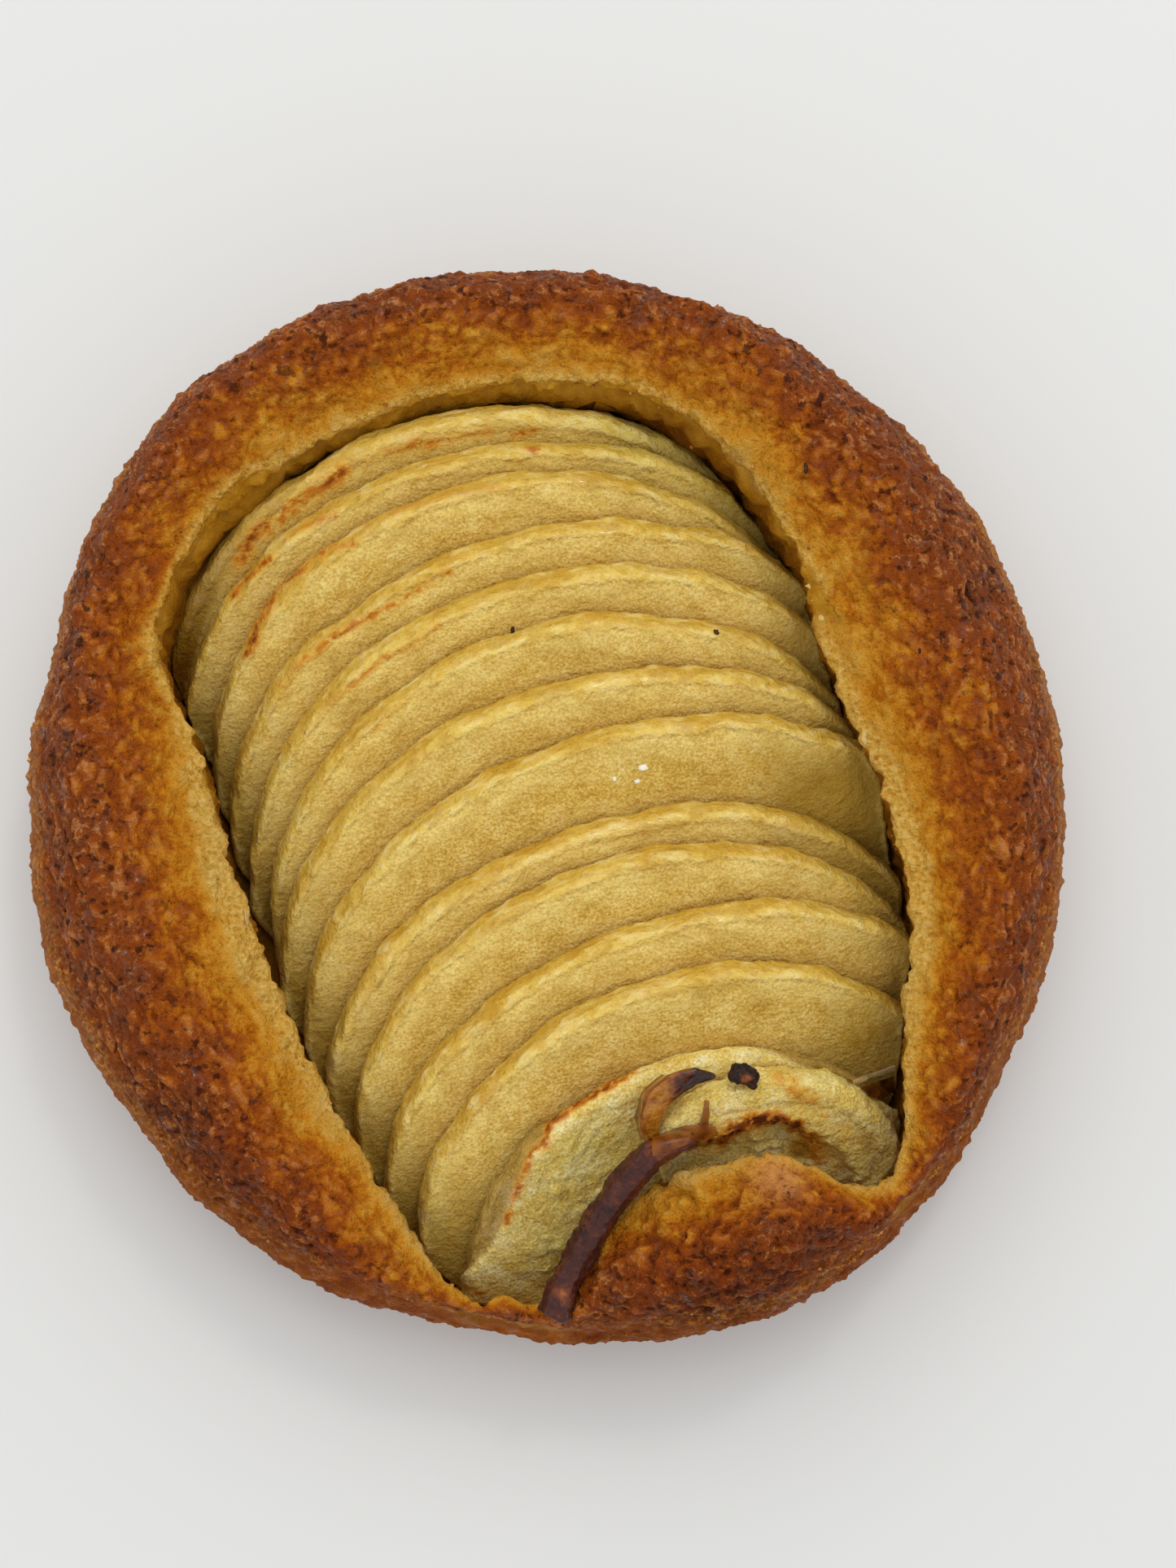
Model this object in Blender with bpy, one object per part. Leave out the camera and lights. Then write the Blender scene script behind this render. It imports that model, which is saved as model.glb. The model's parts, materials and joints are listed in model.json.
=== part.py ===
"""Apple tart: a round baked case with half an apple in it, cut into slices that lean on each other.

The constants are in millimetres and degrees, the scene is in metres. +X is the tart's right, +Y its
back and +Z is up. The origin lies under the middle of the tart, on the surface that it rests on.
"""

import math

import bmesh
import bpy
import numpy as np
from mathutils import Matrix, Vector, noise

MM = 0.001
GAP = 0.3  # clearance between any two pieces
WELD = 0.01  # points closer than this are one point
SHARP_ANGLE = 40.0  # edges that turn more than this are shaded sharp

# The case, seen from above: a mean radius and a few waves, each as order, size and phase.
CASE_RADIUS = 58.0
CASE_WAVES = (
    (1, 0.45, -105.0),
    (2, 1.97, -136.0),
    (4, 0.61, 140.0),
    (5, 0.19, 10.0),
    (6, 0.27, 31.0),
    (7, 0.18, -98.0),
)
MIDDLE = (-0.07, -0.32)  # of the finished outline, which comes to stand over the origin

# Its side, from the foot to the crumbly ledge, each as inset from the outline and height.
CASE_SIDE = ((4.2, 0.0), (2.6, 1.2), (1.2, 5.0), (0.3, 10.0), (0.0, 14.0), (0.4, 17.0), (1.4, 19.5))
SIDE_CREST = 29.0  # crest height that the side heights belong to

# The lip of the opening, counter-clockwise from the right: place and height.
LIP = (
    (38.4, -14.5, 24.0),
    (35.3, -0.9, 25.0),
    (30.1, 12.2, 25.0),
    (26.3, 25.0, 25.5),
    (19.1, 35.6, 26.0),
    (9.5, 41.5, 26.0),
    (-2.7, 42.7, 26.0),
    (-16.6, 39.5, 26.0),
    (-31.4, 31.6, 25.0),
    (-39.5, 22.1, 24.5),
    (-41.3, 14.2, 24.0),
    (-36.6, 1.2, 23.0),
    (-30.7, -16.8, 22.0),
    (-22.1, -35.0, 20.0),
    (-10.6, -52.4, 18.5),  # the front corner, where the wall is thin and low
    (-4.2, -54.1, 18.0),
    (1.7, -54.9, 18.5),
    (6.4, -48.0, 20.0),
    (13.8, -42.2, 23.0),
    (22.6, -39.9, 24.0),  # the puffed mound that covers the front of the slices
    (28.9, -41.4, 23.0),
    (32.4, -43.6, 22.0),
    (36.7, -41.3, 22.0),
    (37.3, -29.7, 23.0),
)
LIP_RAGS = ((4.0, 0.7), (1.8, 0.35))  # wave length and size of its ragged edge
RISE_PER_WIDTH = 0.28  # the wider the wall, the higher its crest stands over the lip
RISE_RANGE = (1.0, 5.5)
CREST_PLACE = 0.4  # from the ledge (0) to the lip (1)
SHOULDER_FULLNESS = 1.1  # the lower, the squarer the shoulder
INNER_FALL = 1.7  # the higher, the later the crest falls off to the lip
TOP_STEPS = (0.05, 0.11, 0.19, 0.28, 0.38, 0.48, 0.58, 0.68, 0.78, 0.87, 0.94, 1.0)

# The hollow under the lip, each as outward offset from the lip and share of the depth.
HOLLOW_FLOOR = 5.0
AIR_OVER_LIP = 40.0
HOLLOW_WALL = ((0.5, 0.05), (1.0, 0.18), (1.1, 0.45), (0.8, 0.8), (-0.4, 0.95), (-1.4, 1.0))

# Points round every ring of the case, and how many neighbours on each side even out its values.
COLUMNS = 132
NORMAL_REACH = 2
HEIGHT_REACH = 4
ANGLE_REACH = (9, 5)
LUMPS = ((9.0, 0.75), (4.5, 0.4))  # wave length and size of the relief on the crust

# The slices: height, half width and sideways shift of each, from the back to the front.
SLICES = (
    (26.5, 33.8, -7.5),
    (27.8, 34.6, -6.0),
    (30.3, 33.6, -5.2),
    (29.5, 35.8, -2.7),
    (30.3, 35.2, -2.6),
    (31.0, 33.8, -3.2),
    (30.3, 35.5, -2.5),
    (29.9, 36.6, -0.6),
    (26.1, 33.1, -3.5),
    (27.9, 32.0, -3.2),
    (26.0, 32.6, -1.4),
    (26.0, 29.5, -2.7),
    (23.3, 25.2, -4.4),
)
FIRST_BASE = (-1.2, 21.2, 7.5)
SLICE_PITCH = 5.83  # along the fan
LEAN = 48.0  # from upright, towards the back
TURN = (15.0, 21.0)  # of the slices about Z, first and last
ROUNDNESS = 2.05  # exponent of the half ellipse
SLICE_FOOT = 3.5  # the slices go on below the middle of the apple, down to the floor
SLICE_FLARE = 1.3  # and are wider there
SLICE_EDGE = 0.8  # rounding of the rim
RIM_POINTS = 26
RIM_WOBBLE = 0.012
RIM_WAVES = (10.0, 27.0)  # of the wobble, along one rim

# The front piece is an arch of flesh round the core, in the plane of a fourteenth slice. Its ring
# lies between two half ellipses round one centre, and thins out towards its left end. Inside the
# ring the flesh lies deeper.
ARCH_CENTRE = (2.7, 8.0)
ARCH_OUTER = (16.5, 17.0)
ARCH_INNER = (10.3, 11.0)
ARCH_SWEEP = (0.0, 124.0)
ARCH_THINNING = (85.0, 0.5)  # from this angle on, and by this share of its depth
CORE_DEPTH = 1.5
CORE_EDGE = 0.7

# A husk of core skin stands behind the arch's left end: across, up and half width, in the same plane.
HUSK_ROUTE = (
    (-5.8, 21.6, 0.6),
    (-5.5, 24.6, 1.1),
    (-4.0, 27.2, 1.6),
    (-1.6, 28.3, 1.5),
    (0.8, 28.3, 1.0),
    (2.6, 27.3, 0.25),
)
HUSK_THICKNESS = 0.9
HUSK_EDGE = 0.25
HUSK_LIFT = 1.4  # out of the arch's layer

# The burnt remains of the blossom, on the arch.
CALYX_PLACE = (20.7, -31.7, 25.3)
CALYX_SIZE = (1.7, 1.1, 1.0)
CALYX_TURN = -20.0
CALYX_KNOBS = (1.7, 0.35)  # how many, and how high

# The stem's route, from its foot on the lip up along the mound: places and radius.
STEM_ROUTE = (
    (1.0, -56.0, 19.6, 1.9),
    (2.6, -51.6, 20.6, 1.7),
    (4.7, -48.0, 21.7, 1.7),
    (6.8, -44.7, 23.2, 1.75),
    (9.4, -41.4, 24.6, 1.8),
    (12.0, -39.2, 25.5, 1.5),
    (15.6, -38.2, 25.7, 0.8),
)

# Materials: name, colour and roughness.
LOOKS = (
    ("baked_pastry", "#B4682C", 0.6),
    ("baked_apple", "#CBB35A", 0.45),
    ("burnt_stem", "#3A2019", 0.5),
    ("core_skin", "#9C5528", 0.4),
    ("burnt_calyx", "#2A1710", 0.6),
)


def clear_scene():
    for old in list(bpy.data.objects):
        bpy.data.objects.remove(old, do_unlink=True)


def new_collection(name):
    collection = bpy.data.collections.new(name)
    bpy.context.scene.collection.children.link(collection)
    return collection


def linear_colour(hex_code):
    """The linear values of an sRGB colour such as #B4682C."""
    channels = []
    for place in (1, 3, 5):
        value = int(hex_code[place : place + 2], 16) / 255
        channels.append(value / 12.92 if value <= 0.04045 else ((value + 0.055) / 1.055) ** 2.4)
    return (*channels, 1.0)


def new_material(name, hex_code, roughness):
    material = bpy.data.materials.new(name)
    material.use_nodes = True
    shader = material.node_tree.nodes["Principled BSDF"]
    shader.inputs["Base Color"].default_value = linear_colour(hex_code)
    shader.inputs["Roughness"].default_value = roughness
    shader.inputs["Metallic"].default_value = 0.0
    material.diffuse_color = linear_colour(hex_code)
    return material


def add_object(name, mesh, collection, material=None):
    made = bpy.data.objects.new(name, mesh)
    collection.objects.link(made)
    if material:
        mesh.materials.append(material)
        mesh.shade_smooth()
        mesh.set_sharp_from_angle(angle=math.radians(SHARP_ANGLE))
    else:
        made.hide_render = True
        made.display_type = "WIRE"
    return made


def stand_over_origin(collections):
    """Hang every piece on one empty, which brings the middle of the outline over the origin."""
    middle = bpy.data.objects.new("tart_middle", None)
    collections[0].objects.link(middle)
    middle.location = (-MIDDLE[0] * MM, -MIDDLE[1] * MM, 0.0)
    for collection in collections:
        for piece in collection.objects:
            if piece is not middle:
                piece.parent = middle


def boolean(target, operation, cutter):
    modifier = target.modifiers.new(operation.lower(), "BOOLEAN")
    modifier.operation = operation
    modifier.solver = "EXACT"
    modifier.object = cutter


def closed_curve(points, count):
    """A smooth closed curve through the points, sampled at even steps along its length."""
    points = np.array(points)
    before, after, beyond = (np.roll(points, shift, axis=0) for shift in (1, -1, -2))
    steps = np.linspace(0, 1, 24, endpoint=False)[None, :, None]
    p0, p1, p2, p3 = (p[:, None, :] for p in (before, points, after, beyond))
    fine = 0.5 * (
        2 * p1
        + (p2 - p0) * steps
        + (2 * p0 - 5 * p1 + 4 * p2 - p3) * steps**2
        + (3 * p1 - p0 - 3 * p2 + p3) * steps**3
    )
    fine = fine.reshape(-1, points.shape[1])
    fine = np.vstack((fine, fine[:1]))
    along = np.concatenate(([0], np.cumsum(np.linalg.norm(np.diff(fine[:, :2], axis=0), axis=1))))
    wanted = np.linspace(0, along[-1], count, endpoint=False)
    return np.stack([np.interp(wanted, along, fine[:, axis]) for axis in range(points.shape[1])], axis=1)


def outward_normals(curve):
    """Unit vectors in plan that point out of a counter-clockwise closed curve."""
    along = np.roll(curve, -1, axis=0)[:, :2] - np.roll(curve, 1, axis=0)[:, :2]
    along /= np.linalg.norm(along, axis=1, keepdims=True)
    return np.stack((along[:, 1], -along[:, 0]), axis=1)


def even_round(values, reach):
    """Mean of each value and its neighbours on both sides, round a closed curve."""
    return sum(np.roll(values, shift, axis=0) for shift in range(-reach, reach + 1)) / (2 * reach + 1)


def relief(place, waves):
    """Noise at a place, summed over its waves' lengths and sizes."""
    return sum(size * noise.noise(Vector(place) / length) for length, size in waves)


def lip_curve():
    """The lip, with a ragged edge, and its outward normals."""
    lip = closed_curve(LIP, COLUMNS)
    normals = outward_normals(lip)
    rags = np.array([relief(point, LIP_RAGS) for point in lip])
    lip[:, :2] += normals * rags[:, None]
    return lip, even_round(normals, NORMAL_REACH)


def case_outline(angles):
    radius = np.full_like(angles, CASE_RADIUS)
    for order, size, phase in CASE_WAVES:
        radius += size * np.cos(order * angles - math.radians(phase))
    return np.stack((np.cos(angles), np.sin(angles)), axis=1) * radius[:, None]


def outline_beside(lip):
    """For each point of the lip, the outline's point and its inward direction."""
    turn = np.unwrap(np.arctan2(lip[:, 1], lip[:, 0]))
    evenly = turn[0] + np.arange(COLUMNS) * 2 * math.pi / COLUMNS
    drift = turn - evenly
    for reach in ANGLE_REACH:
        drift = even_round(drift, reach)
    angles = evenly + drift
    return case_outline(angles), -np.stack((np.cos(angles), np.sin(angles)), axis=1)


def top_height(step, ledge, crest, lip):
    """Height of the crust's top from the ledge (0) over the crest to the lip (1)."""
    if step <= CREST_PLACE:
        climb = math.sin(math.pi / 2 * step / CREST_PLACE) ** SHOULDER_FULLNESS
        return ledge + (crest - ledge) * climb
    fall = ((step - CREST_PLACE) / (1 - CREST_PLACE)) ** INNER_FALL
    return crest - (crest - lip) * fall


def hollow_rings(lip, normals, clearance):
    """The wall from the lip down to the floor, moved into the hollow by the clearance."""
    rings = []
    for offset, share in HOLLOW_WALL:
        plan = lip[:, :2] + normals * (offset - clearance)
        height = lip[:, 2] + (HOLLOW_FLOOR + clearance - lip[:, 2]) * share
        rings.append(np.column_stack((plan, height)))
    return rings


def case_rings():
    """Closed rings of points from the foot up the side, over the top and down into the hollow."""
    lip, normals = lip_curve()
    outline, inward = outline_beside(lip)
    width = np.linalg.norm(outline - lip[:, :2], axis=1)
    crest = lip[:, 2] + np.clip(RISE_PER_WIDTH * width, *RISE_RANGE)
    low = np.minimum(even_round(crest, HEIGHT_REACH) / SIDE_CREST, 1.0)
    rings = []
    for inset, height in CASE_SIDE:
        rings.append(np.column_stack((outline + inward * inset, height * low)))
    ledge = rings[-1]
    for step in TOP_STEPS:
        plan = ledge[:, :2] + (lip[:, :2] - ledge[:, :2]) * step
        rings.append(np.column_stack((plan, top_height(step, ledge[:, 2], crest, lip[:, 2]))))
    return rings + hollow_rings(lip, normals, 0.0)


def add_lumps(rings):
    """Push the side and the top of the crust in and out along their normals."""
    grid = np.array(rings)
    across = np.gradient(grid, axis=0)
    along = np.roll(grid, -1, axis=1) - np.roll(grid, 1, axis=1)
    normals = np.cross(along, across)
    normals /= np.linalg.norm(normals, axis=2, keepdims=True)
    last = len(CASE_SIDE) + len(TOP_STEPS) - 1
    for row in range(2, last):
        strength = min(1.0, (row - 1) / 4, (last - row) / 2)
        for column in range(COLUMNS):
            lump = relief(grid[row, column], LUMPS)
            grid[row, column] += normals[row, column] * strength * lump
    return list(grid)


def loft(name, rings):
    """A closed solid through rings of points, with flat ends."""
    bm = bmesh.new()
    rows = [[bm.verts.new(Vector(point) * MM) for point in ring] for ring in rings]
    for lower, upper in zip(rows, rows[1:]):
        for place in range(len(lower)):
            beside = (place + 1) % len(lower)
            bm.faces.new((lower[place], lower[beside], upper[beside], upper[place]))
    bm.faces.new(list(reversed(rows[0])))
    bm.faces.new(rows[-1])
    bmesh.ops.recalc_face_normals(bm, faces=bm.faces)
    return finished(bm, name)


def finished(bm, name):
    mesh = bpy.data.meshes.new(name)
    bm.to_mesh(mesh)
    bm.free()
    return mesh


def hollow_space():
    """The room that the slices fill: the hollow with a clearance, and the air over it."""
    lip, normals = lip_curve()
    plan = lip[:, :2] - normals * GAP
    above = [np.column_stack((plan, lip[:, 2] + rise)) for rise in (AIR_OVER_LIP, 0.0)]
    return loft("hollow_space", above + hollow_rings(lip, normals, GAP))


def mesh_of(thing):
    """The mesh of a curve object, with its ends welded on; the curve is removed."""
    evaluated = thing.evaluated_get(bpy.context.evaluated_depsgraph_get())
    bm = bmesh.new()
    bm.from_mesh(bpy.data.meshes.new_from_object(evaluated))
    bmesh.ops.remove_doubles(bm, verts=bm.verts, dist=WELD * MM)
    bmesh.ops.recalc_face_normals(bm, faces=bm.faces)
    name = thing.name
    bpy.data.objects.remove(thing, do_unlink=True)
    return finished(bm, name)


def flat_solid(name, outline, thickness, edge, facets, collection):
    """A flat piece with rounded edges: its outline is in local X and Y, its thickness in Z."""
    curve = bpy.data.curves.new(name, "CURVE")
    curve.dimensions = "2D"
    curve.fill_mode = "BOTH"
    curve.extrude = (thickness / 2 - edge) * MM
    curve.bevel_depth = edge * MM
    curve.bevel_resolution = facets
    curve.offset = -edge * MM
    spline = curve.splines.new("POLY")
    spline.points.add(len(outline) - 1)
    for point, (across, up) in zip(spline.points, outline):
        point.co = (across * MM, up * MM, 0.0, 1.0)
    spline.use_cyclic_u = True
    flat = bpy.data.objects.new(name, curve)
    collection.objects.link(flat)
    bpy.context.view_layer.update()
    return mesh_of(flat)


def tube(name, route, grow, collection):
    """A round bar along a route of places and radii, with filled ends."""
    curve = bpy.data.curves.new(name, "CURVE")
    curve.dimensions = "3D"
    curve.bevel_depth = MM
    curve.bevel_resolution = 1
    curve.resolution_u = 3
    curve.use_fill_caps = True
    spline = curve.splines.new("BEZIER")
    spline.bezier_points.add(len(route) - 1)
    for point, (x, y, z, radius) in zip(spline.bezier_points, route):
        point.co = Vector((x, y, z)) * MM
        point.radius = radius + grow
        point.handle_left_type = "AUTO"
        point.handle_right_type = "AUTO"
    bar = bpy.data.objects.new(name, curve)
    collection.objects.link(bar)
    bpy.context.view_layer.update()
    return mesh_of(bar)


def slice_frames(count):
    """Axes of each slice: middle of its base, across, up along its face, and out of its front."""
    base = Vector(FIRST_BASE)
    frames = []
    lean = math.radians(LEAN)
    for number in range(count):
        turn = math.radians(TURN[0] + (TURN[1] - TURN[0]) * number / (len(SLICES) - 1))
        across = Vector((math.cos(turn), math.sin(turn), 0.0))
        forward = Vector((math.sin(turn), -math.cos(turn), 0.0))
        up = Vector((0.0, 0.0, math.cos(lean))) - forward * math.sin(lean)
        front = forward * math.cos(lean) + Vector((0.0, 0.0, math.sin(lean)))
        frames.append((base.copy(), across, up, front))
        base += forward * SLICE_PITCH
    return frames


def uneven(place, seed):
    """A factor close to 1 that wanders with the place along a rim."""
    wander = sum(noise.noise(Vector((place * waves, seed, waves))) for waves in RIM_WAVES)
    return 1 + RIM_WOBBLE * wander


def half_round(height, half_width, shift, seed):
    """Outline of half an apple's section, from the right foot over the top to the left foot."""
    outline = [(shift + half_width + SLICE_FLARE, -SLICE_FOOT)]
    for step in range(RIM_POINTS + 1):
        angle = math.pi * step / RIM_POINTS
        across = math.copysign(abs(math.cos(angle)) ** (2 / ROUNDNESS), math.cos(angle))
        up = max(math.sin(angle), 0.0) ** (2 / ROUNDNESS)
        flare = math.copysign(SLICE_FLARE * (1 - up) ** 2, across)
        factor = uneven(step / RIM_POINTS, seed)
        outline.append((shift + half_width * across * factor + flare, height * up * factor))
    outline.append((shift - half_width - SLICE_FLARE, -SLICE_FOOT))
    return outline


def arch_point(angle, depth):
    """A point of the arch's ring: the depth runs from its inner edge (0) to its outer edge (1)."""
    angle = math.radians(angle)
    half_width, height = (low + (high - low) * depth for low, high in zip(ARCH_INNER, ARCH_OUTER))
    return ARCH_CENTRE[0] + half_width * math.cos(angle), ARCH_CENTRE[1] + height * math.sin(angle)


def arch_angles():
    return np.linspace(*ARCH_SWEEP, RIM_POINTS // 2 + 1)


def arch_shape():
    """The arch's outer edge, from its right leg to its left end, closed under the floor of the hollow."""
    outer = [arch_point(angle, uneven(angle / 360, 3.0)) for angle in arch_angles()]
    foot = -ARCH_CENTRE[1]
    return [(outer[0][0] + SLICE_FLARE, foot), *outer, (outer[-1][0], foot)]


def core_shape():
    """What lies inside the ring."""
    start, share = ARCH_THINNING
    inner = []
    for angle in arch_angles():
        thinning = max(0.0, (angle - start) / (ARCH_SWEEP[1] - start))
        inner.append(arch_point(angle, share * thinning + uneven(angle / 360, 9.0) - 1))
    foot = -2 * ARCH_CENTRE[1]
    return [(inner[0][0], foot), *inner, (2 * inner[-1][0], foot)]


def husk_shape():
    """The outline of a strip that follows its route at a varying width."""
    left = []
    right = []
    for place, (across, up, half_width) in enumerate(HUSK_ROUTE):
        before = Vector(HUSK_ROUTE[max(place - 1, 0)][:2])
        after = Vector(HUSK_ROUTE[min(place + 1, len(HUSK_ROUTE) - 1)][:2])
        along = (after - before).normalized()
        left.append((across - along.y * half_width, up + along.x * half_width))
        right.append((across + along.y * half_width, up - along.x * half_width))
    return left + right[::-1]


def moved(frame, offset):
    return (frame[0] + offset, *frame[1:])


def between(first, second):
    """The plane halfway between two slices: a point on it and its normal."""
    return (first[0] + second[0]) / 2, ((first[3] + second[3]) / 2).normalized()


def fill_layer(mesh, thickness, frame, behind, ahead):
    """Stretch a flat piece through its thickness, so that it fills the layer between two planes."""
    base, across, up, front = frame
    half = thickness / 2 * MM
    for vertex in mesh.vertices:
        place = base + (across * vertex.co.x + up * vertex.co.y) / MM
        point, normal = ahead if vertex.co.z > 0 else behind
        room = (point - place).dot(normal) / front.dot(normal)
        clearance = math.copysign(GAP / 2, vertex.co.z)
        vertex.co.z = abs(vertex.co.z) / half * (room - clearance) * MM


def stand_in_plane(piece, frame, lift=0.0):
    """Turn a flat piece into its slice's plane, the lift being out of the front."""
    base, across, up, front = frame
    axes = Matrix((across, up, front)).transposed().to_4x4()
    piece.matrix_world = Matrix.Translation((base + front * lift) * MM) @ axes


def layer_thickness():
    return SLICE_PITCH * math.cos(math.radians(LEAN)) - GAP


def make_slices(frames, space, collection, cutters, material):
    """Every slice and the arch: flat pieces that fill their layers, trimmed to the hollow."""
    shapes = [half_round(*row, seed) for seed, row in enumerate(SLICES)]
    shapes.append(arch_shape())
    pitch = frames[1][0] - frames[0][0]
    line = [moved(frames[0], -pitch), *frames, moved(frames[-1], pitch)]
    thickness = layer_thickness()
    made = []
    for number, (frame, shape) in enumerate(zip(frames, shapes)):
        name = f"apple_slice_{number + 1:02d}"
        mesh = flat_solid(name, shape, thickness, SLICE_EDGE, 1, cutters)
        behind = between(line[number], frame)
        ahead = between(frame, line[number + 2])
        fill_layer(mesh, thickness, frame, behind, ahead)
        piece = add_object(name, mesh, collection, material)
        stand_in_plane(piece, frame)
        boolean(piece, "INTERSECT", space)
        made.append(piece)
    return made


def make_core_room(frame, cutters):
    """What is taken out of the arch's front, down to the deeper flesh."""
    thickness = layer_thickness()
    mesh = flat_solid("core_room", core_shape(), thickness, CORE_EDGE, 1, cutters)
    room = add_object("core_room", mesh, cutters)
    stand_in_plane(room, frame, thickness - CORE_DEPTH)
    return room


def make_husk(name, grow, frame, cutters, collection, material=None):
    """The husk, or with a growth the room that it needs."""
    mesh = flat_solid(name, husk_shape(), HUSK_THICKNESS, HUSK_EDGE, 0, cutters)
    bm = bmesh.new()
    bm.from_mesh(mesh)
    bm.normal_update()
    for vertex in bm.verts:
        vertex.co += vertex.normal * grow * MM
    bm.to_mesh(mesh)
    bm.free()
    husk = add_object(name, mesh, collection, material)
    stand_in_plane(husk, frame, HUSK_LIFT)
    return husk


def make_calyx(name, grow, collection, material=None):
    """The burnt remains of the blossom, a knobbly crumb, or the room that it needs."""
    knobs, knob_height = CALYX_KNOBS
    bm = bmesh.new()
    bmesh.ops.create_icosphere(bm, subdivisions=2, radius=1.0)
    for vertex in bm.verts:
        knob = 1 + knob_height * noise.noise(vertex.co * knobs)
        reach = Vector(CALYX_SIZE) * knob + Vector((grow, grow, grow))
        vertex.co = vertex.co * reach * MM
    calyx = add_object(name, finished(bm, name), collection, material)
    calyx.location = Vector(CALYX_PLACE) * MM
    calyx.rotation_euler.z = math.radians(CALYX_TURN)
    return calyx


def main():
    clear_scene()
    tart = new_collection("apple_tart")
    cutters = new_collection("cutters")
    pastry, apple, stem_skin, core_skin, calyx_skin = (new_material(*look) for look in LOOKS)
    frames = slice_frames(len(SLICES) + 1)

    case = add_object("case", loft("case", add_lumps(case_rings())), tart, pastry)
    space = add_object("hollow_space", hollow_space(), cutters)
    slices = make_slices(frames, space, tart, cutters, apple)

    add_object("stem", tube("stem", STEM_ROUTE, 0.0, cutters), tart, stem_skin)
    stem_room = add_object("stem_room", tube("stem_room", STEM_ROUTE, GAP, cutters), cutters)
    husk = make_husk("core_husk", 0.0, frames[-1], cutters, tart, core_skin)
    husk_room = make_husk("husk_room", GAP, frames[-1], cutters, cutters)
    make_calyx("calyx", 0.0, tart, calyx_skin)
    calyx_room = make_calyx("calyx_room", GAP, cutters)

    boolean(slices[-1], "DIFFERENCE", make_core_room(frames[-1], cutters))
    boolean(husk, "DIFFERENCE", stem_room)
    boolean(case, "DIFFERENCE", stem_room)
    for piece in slices[-2:]:
        boolean(piece, "DIFFERENCE", stem_room)
        boolean(piece, "DIFFERENCE", husk_room)
        boolean(piece, "DIFFERENCE", calyx_room)
    stand_over_origin((tart, cutters))


main()
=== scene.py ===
# %% [markdown]
# # Apple tart
# A single-portion tart, seen from above. Its solids come ready-made as a frame of plain, faceted
# pieces. This lesson dresses them: every piece is copied, given a fine skin and its relief, and
# then a material that is made of nodes alone.

import json
import math

import bmesh
import bpy
import numpy as np
from mathutils import Matrix, Vector, noise
from mathutils.bvhtree import BVHTree

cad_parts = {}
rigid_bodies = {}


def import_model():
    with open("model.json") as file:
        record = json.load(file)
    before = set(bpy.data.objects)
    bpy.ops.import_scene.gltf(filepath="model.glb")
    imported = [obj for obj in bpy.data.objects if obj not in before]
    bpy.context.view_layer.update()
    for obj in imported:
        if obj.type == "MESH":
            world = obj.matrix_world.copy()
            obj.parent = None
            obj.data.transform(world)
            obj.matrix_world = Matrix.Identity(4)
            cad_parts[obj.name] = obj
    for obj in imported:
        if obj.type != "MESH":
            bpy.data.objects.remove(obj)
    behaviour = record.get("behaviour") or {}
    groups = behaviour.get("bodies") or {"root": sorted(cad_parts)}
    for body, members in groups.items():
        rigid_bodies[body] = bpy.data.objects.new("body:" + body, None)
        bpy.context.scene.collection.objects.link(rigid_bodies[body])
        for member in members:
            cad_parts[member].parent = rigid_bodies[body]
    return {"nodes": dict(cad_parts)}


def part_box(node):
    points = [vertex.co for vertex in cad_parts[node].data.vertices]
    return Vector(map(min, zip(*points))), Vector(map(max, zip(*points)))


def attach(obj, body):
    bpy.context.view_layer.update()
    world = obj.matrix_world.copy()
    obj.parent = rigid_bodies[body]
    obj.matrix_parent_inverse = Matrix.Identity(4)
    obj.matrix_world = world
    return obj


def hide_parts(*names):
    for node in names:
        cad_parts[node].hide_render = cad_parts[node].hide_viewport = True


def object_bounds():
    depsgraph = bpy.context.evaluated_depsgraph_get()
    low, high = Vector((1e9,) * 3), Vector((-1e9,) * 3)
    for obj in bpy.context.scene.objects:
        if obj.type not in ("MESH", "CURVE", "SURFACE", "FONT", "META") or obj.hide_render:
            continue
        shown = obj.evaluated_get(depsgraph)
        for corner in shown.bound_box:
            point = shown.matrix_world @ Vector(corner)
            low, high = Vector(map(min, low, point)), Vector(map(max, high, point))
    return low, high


for old in list(bpy.data.objects):
    bpy.data.objects.remove(old, do_unlink=True)
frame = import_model()
cad_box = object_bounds()
nodes = frame["nodes"]
MM = 0.001
SLICE_NAMES = sorted(name for name in nodes if name.startswith("apple_slice_"))
print(len(nodes), "solids in the frame,", len(SLICE_NAMES), "of them slices")

# %% [markdown]
# ## The camera
# The photo was taken from almost straight above. What fixes a camera is a distance, a tilt and the
# point that it aims at. The lens then follows from how many pixels one millimetre covers at that
# point, so it is worked out here and not tried out.

# %% Camera
PHOTO_WIDTH = 1445
PHOTO_HEIGHT = 1927
PIXELS_PER_MM = 11.36
CAMERA_DISTANCE = 300.0
CAMERA_TILT = math.radians(10.0)
CAMERA_AIM = Vector((4.57, 0.72, 16.0))
SENSOR_HEIGHT = 36.0


def in_scene(name, data):
    """A new object that shows some data, linked into the scene."""
    made = bpy.data.objects.new(name, data)
    bpy.context.scene.collection.objects.link(made)
    return made


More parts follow.
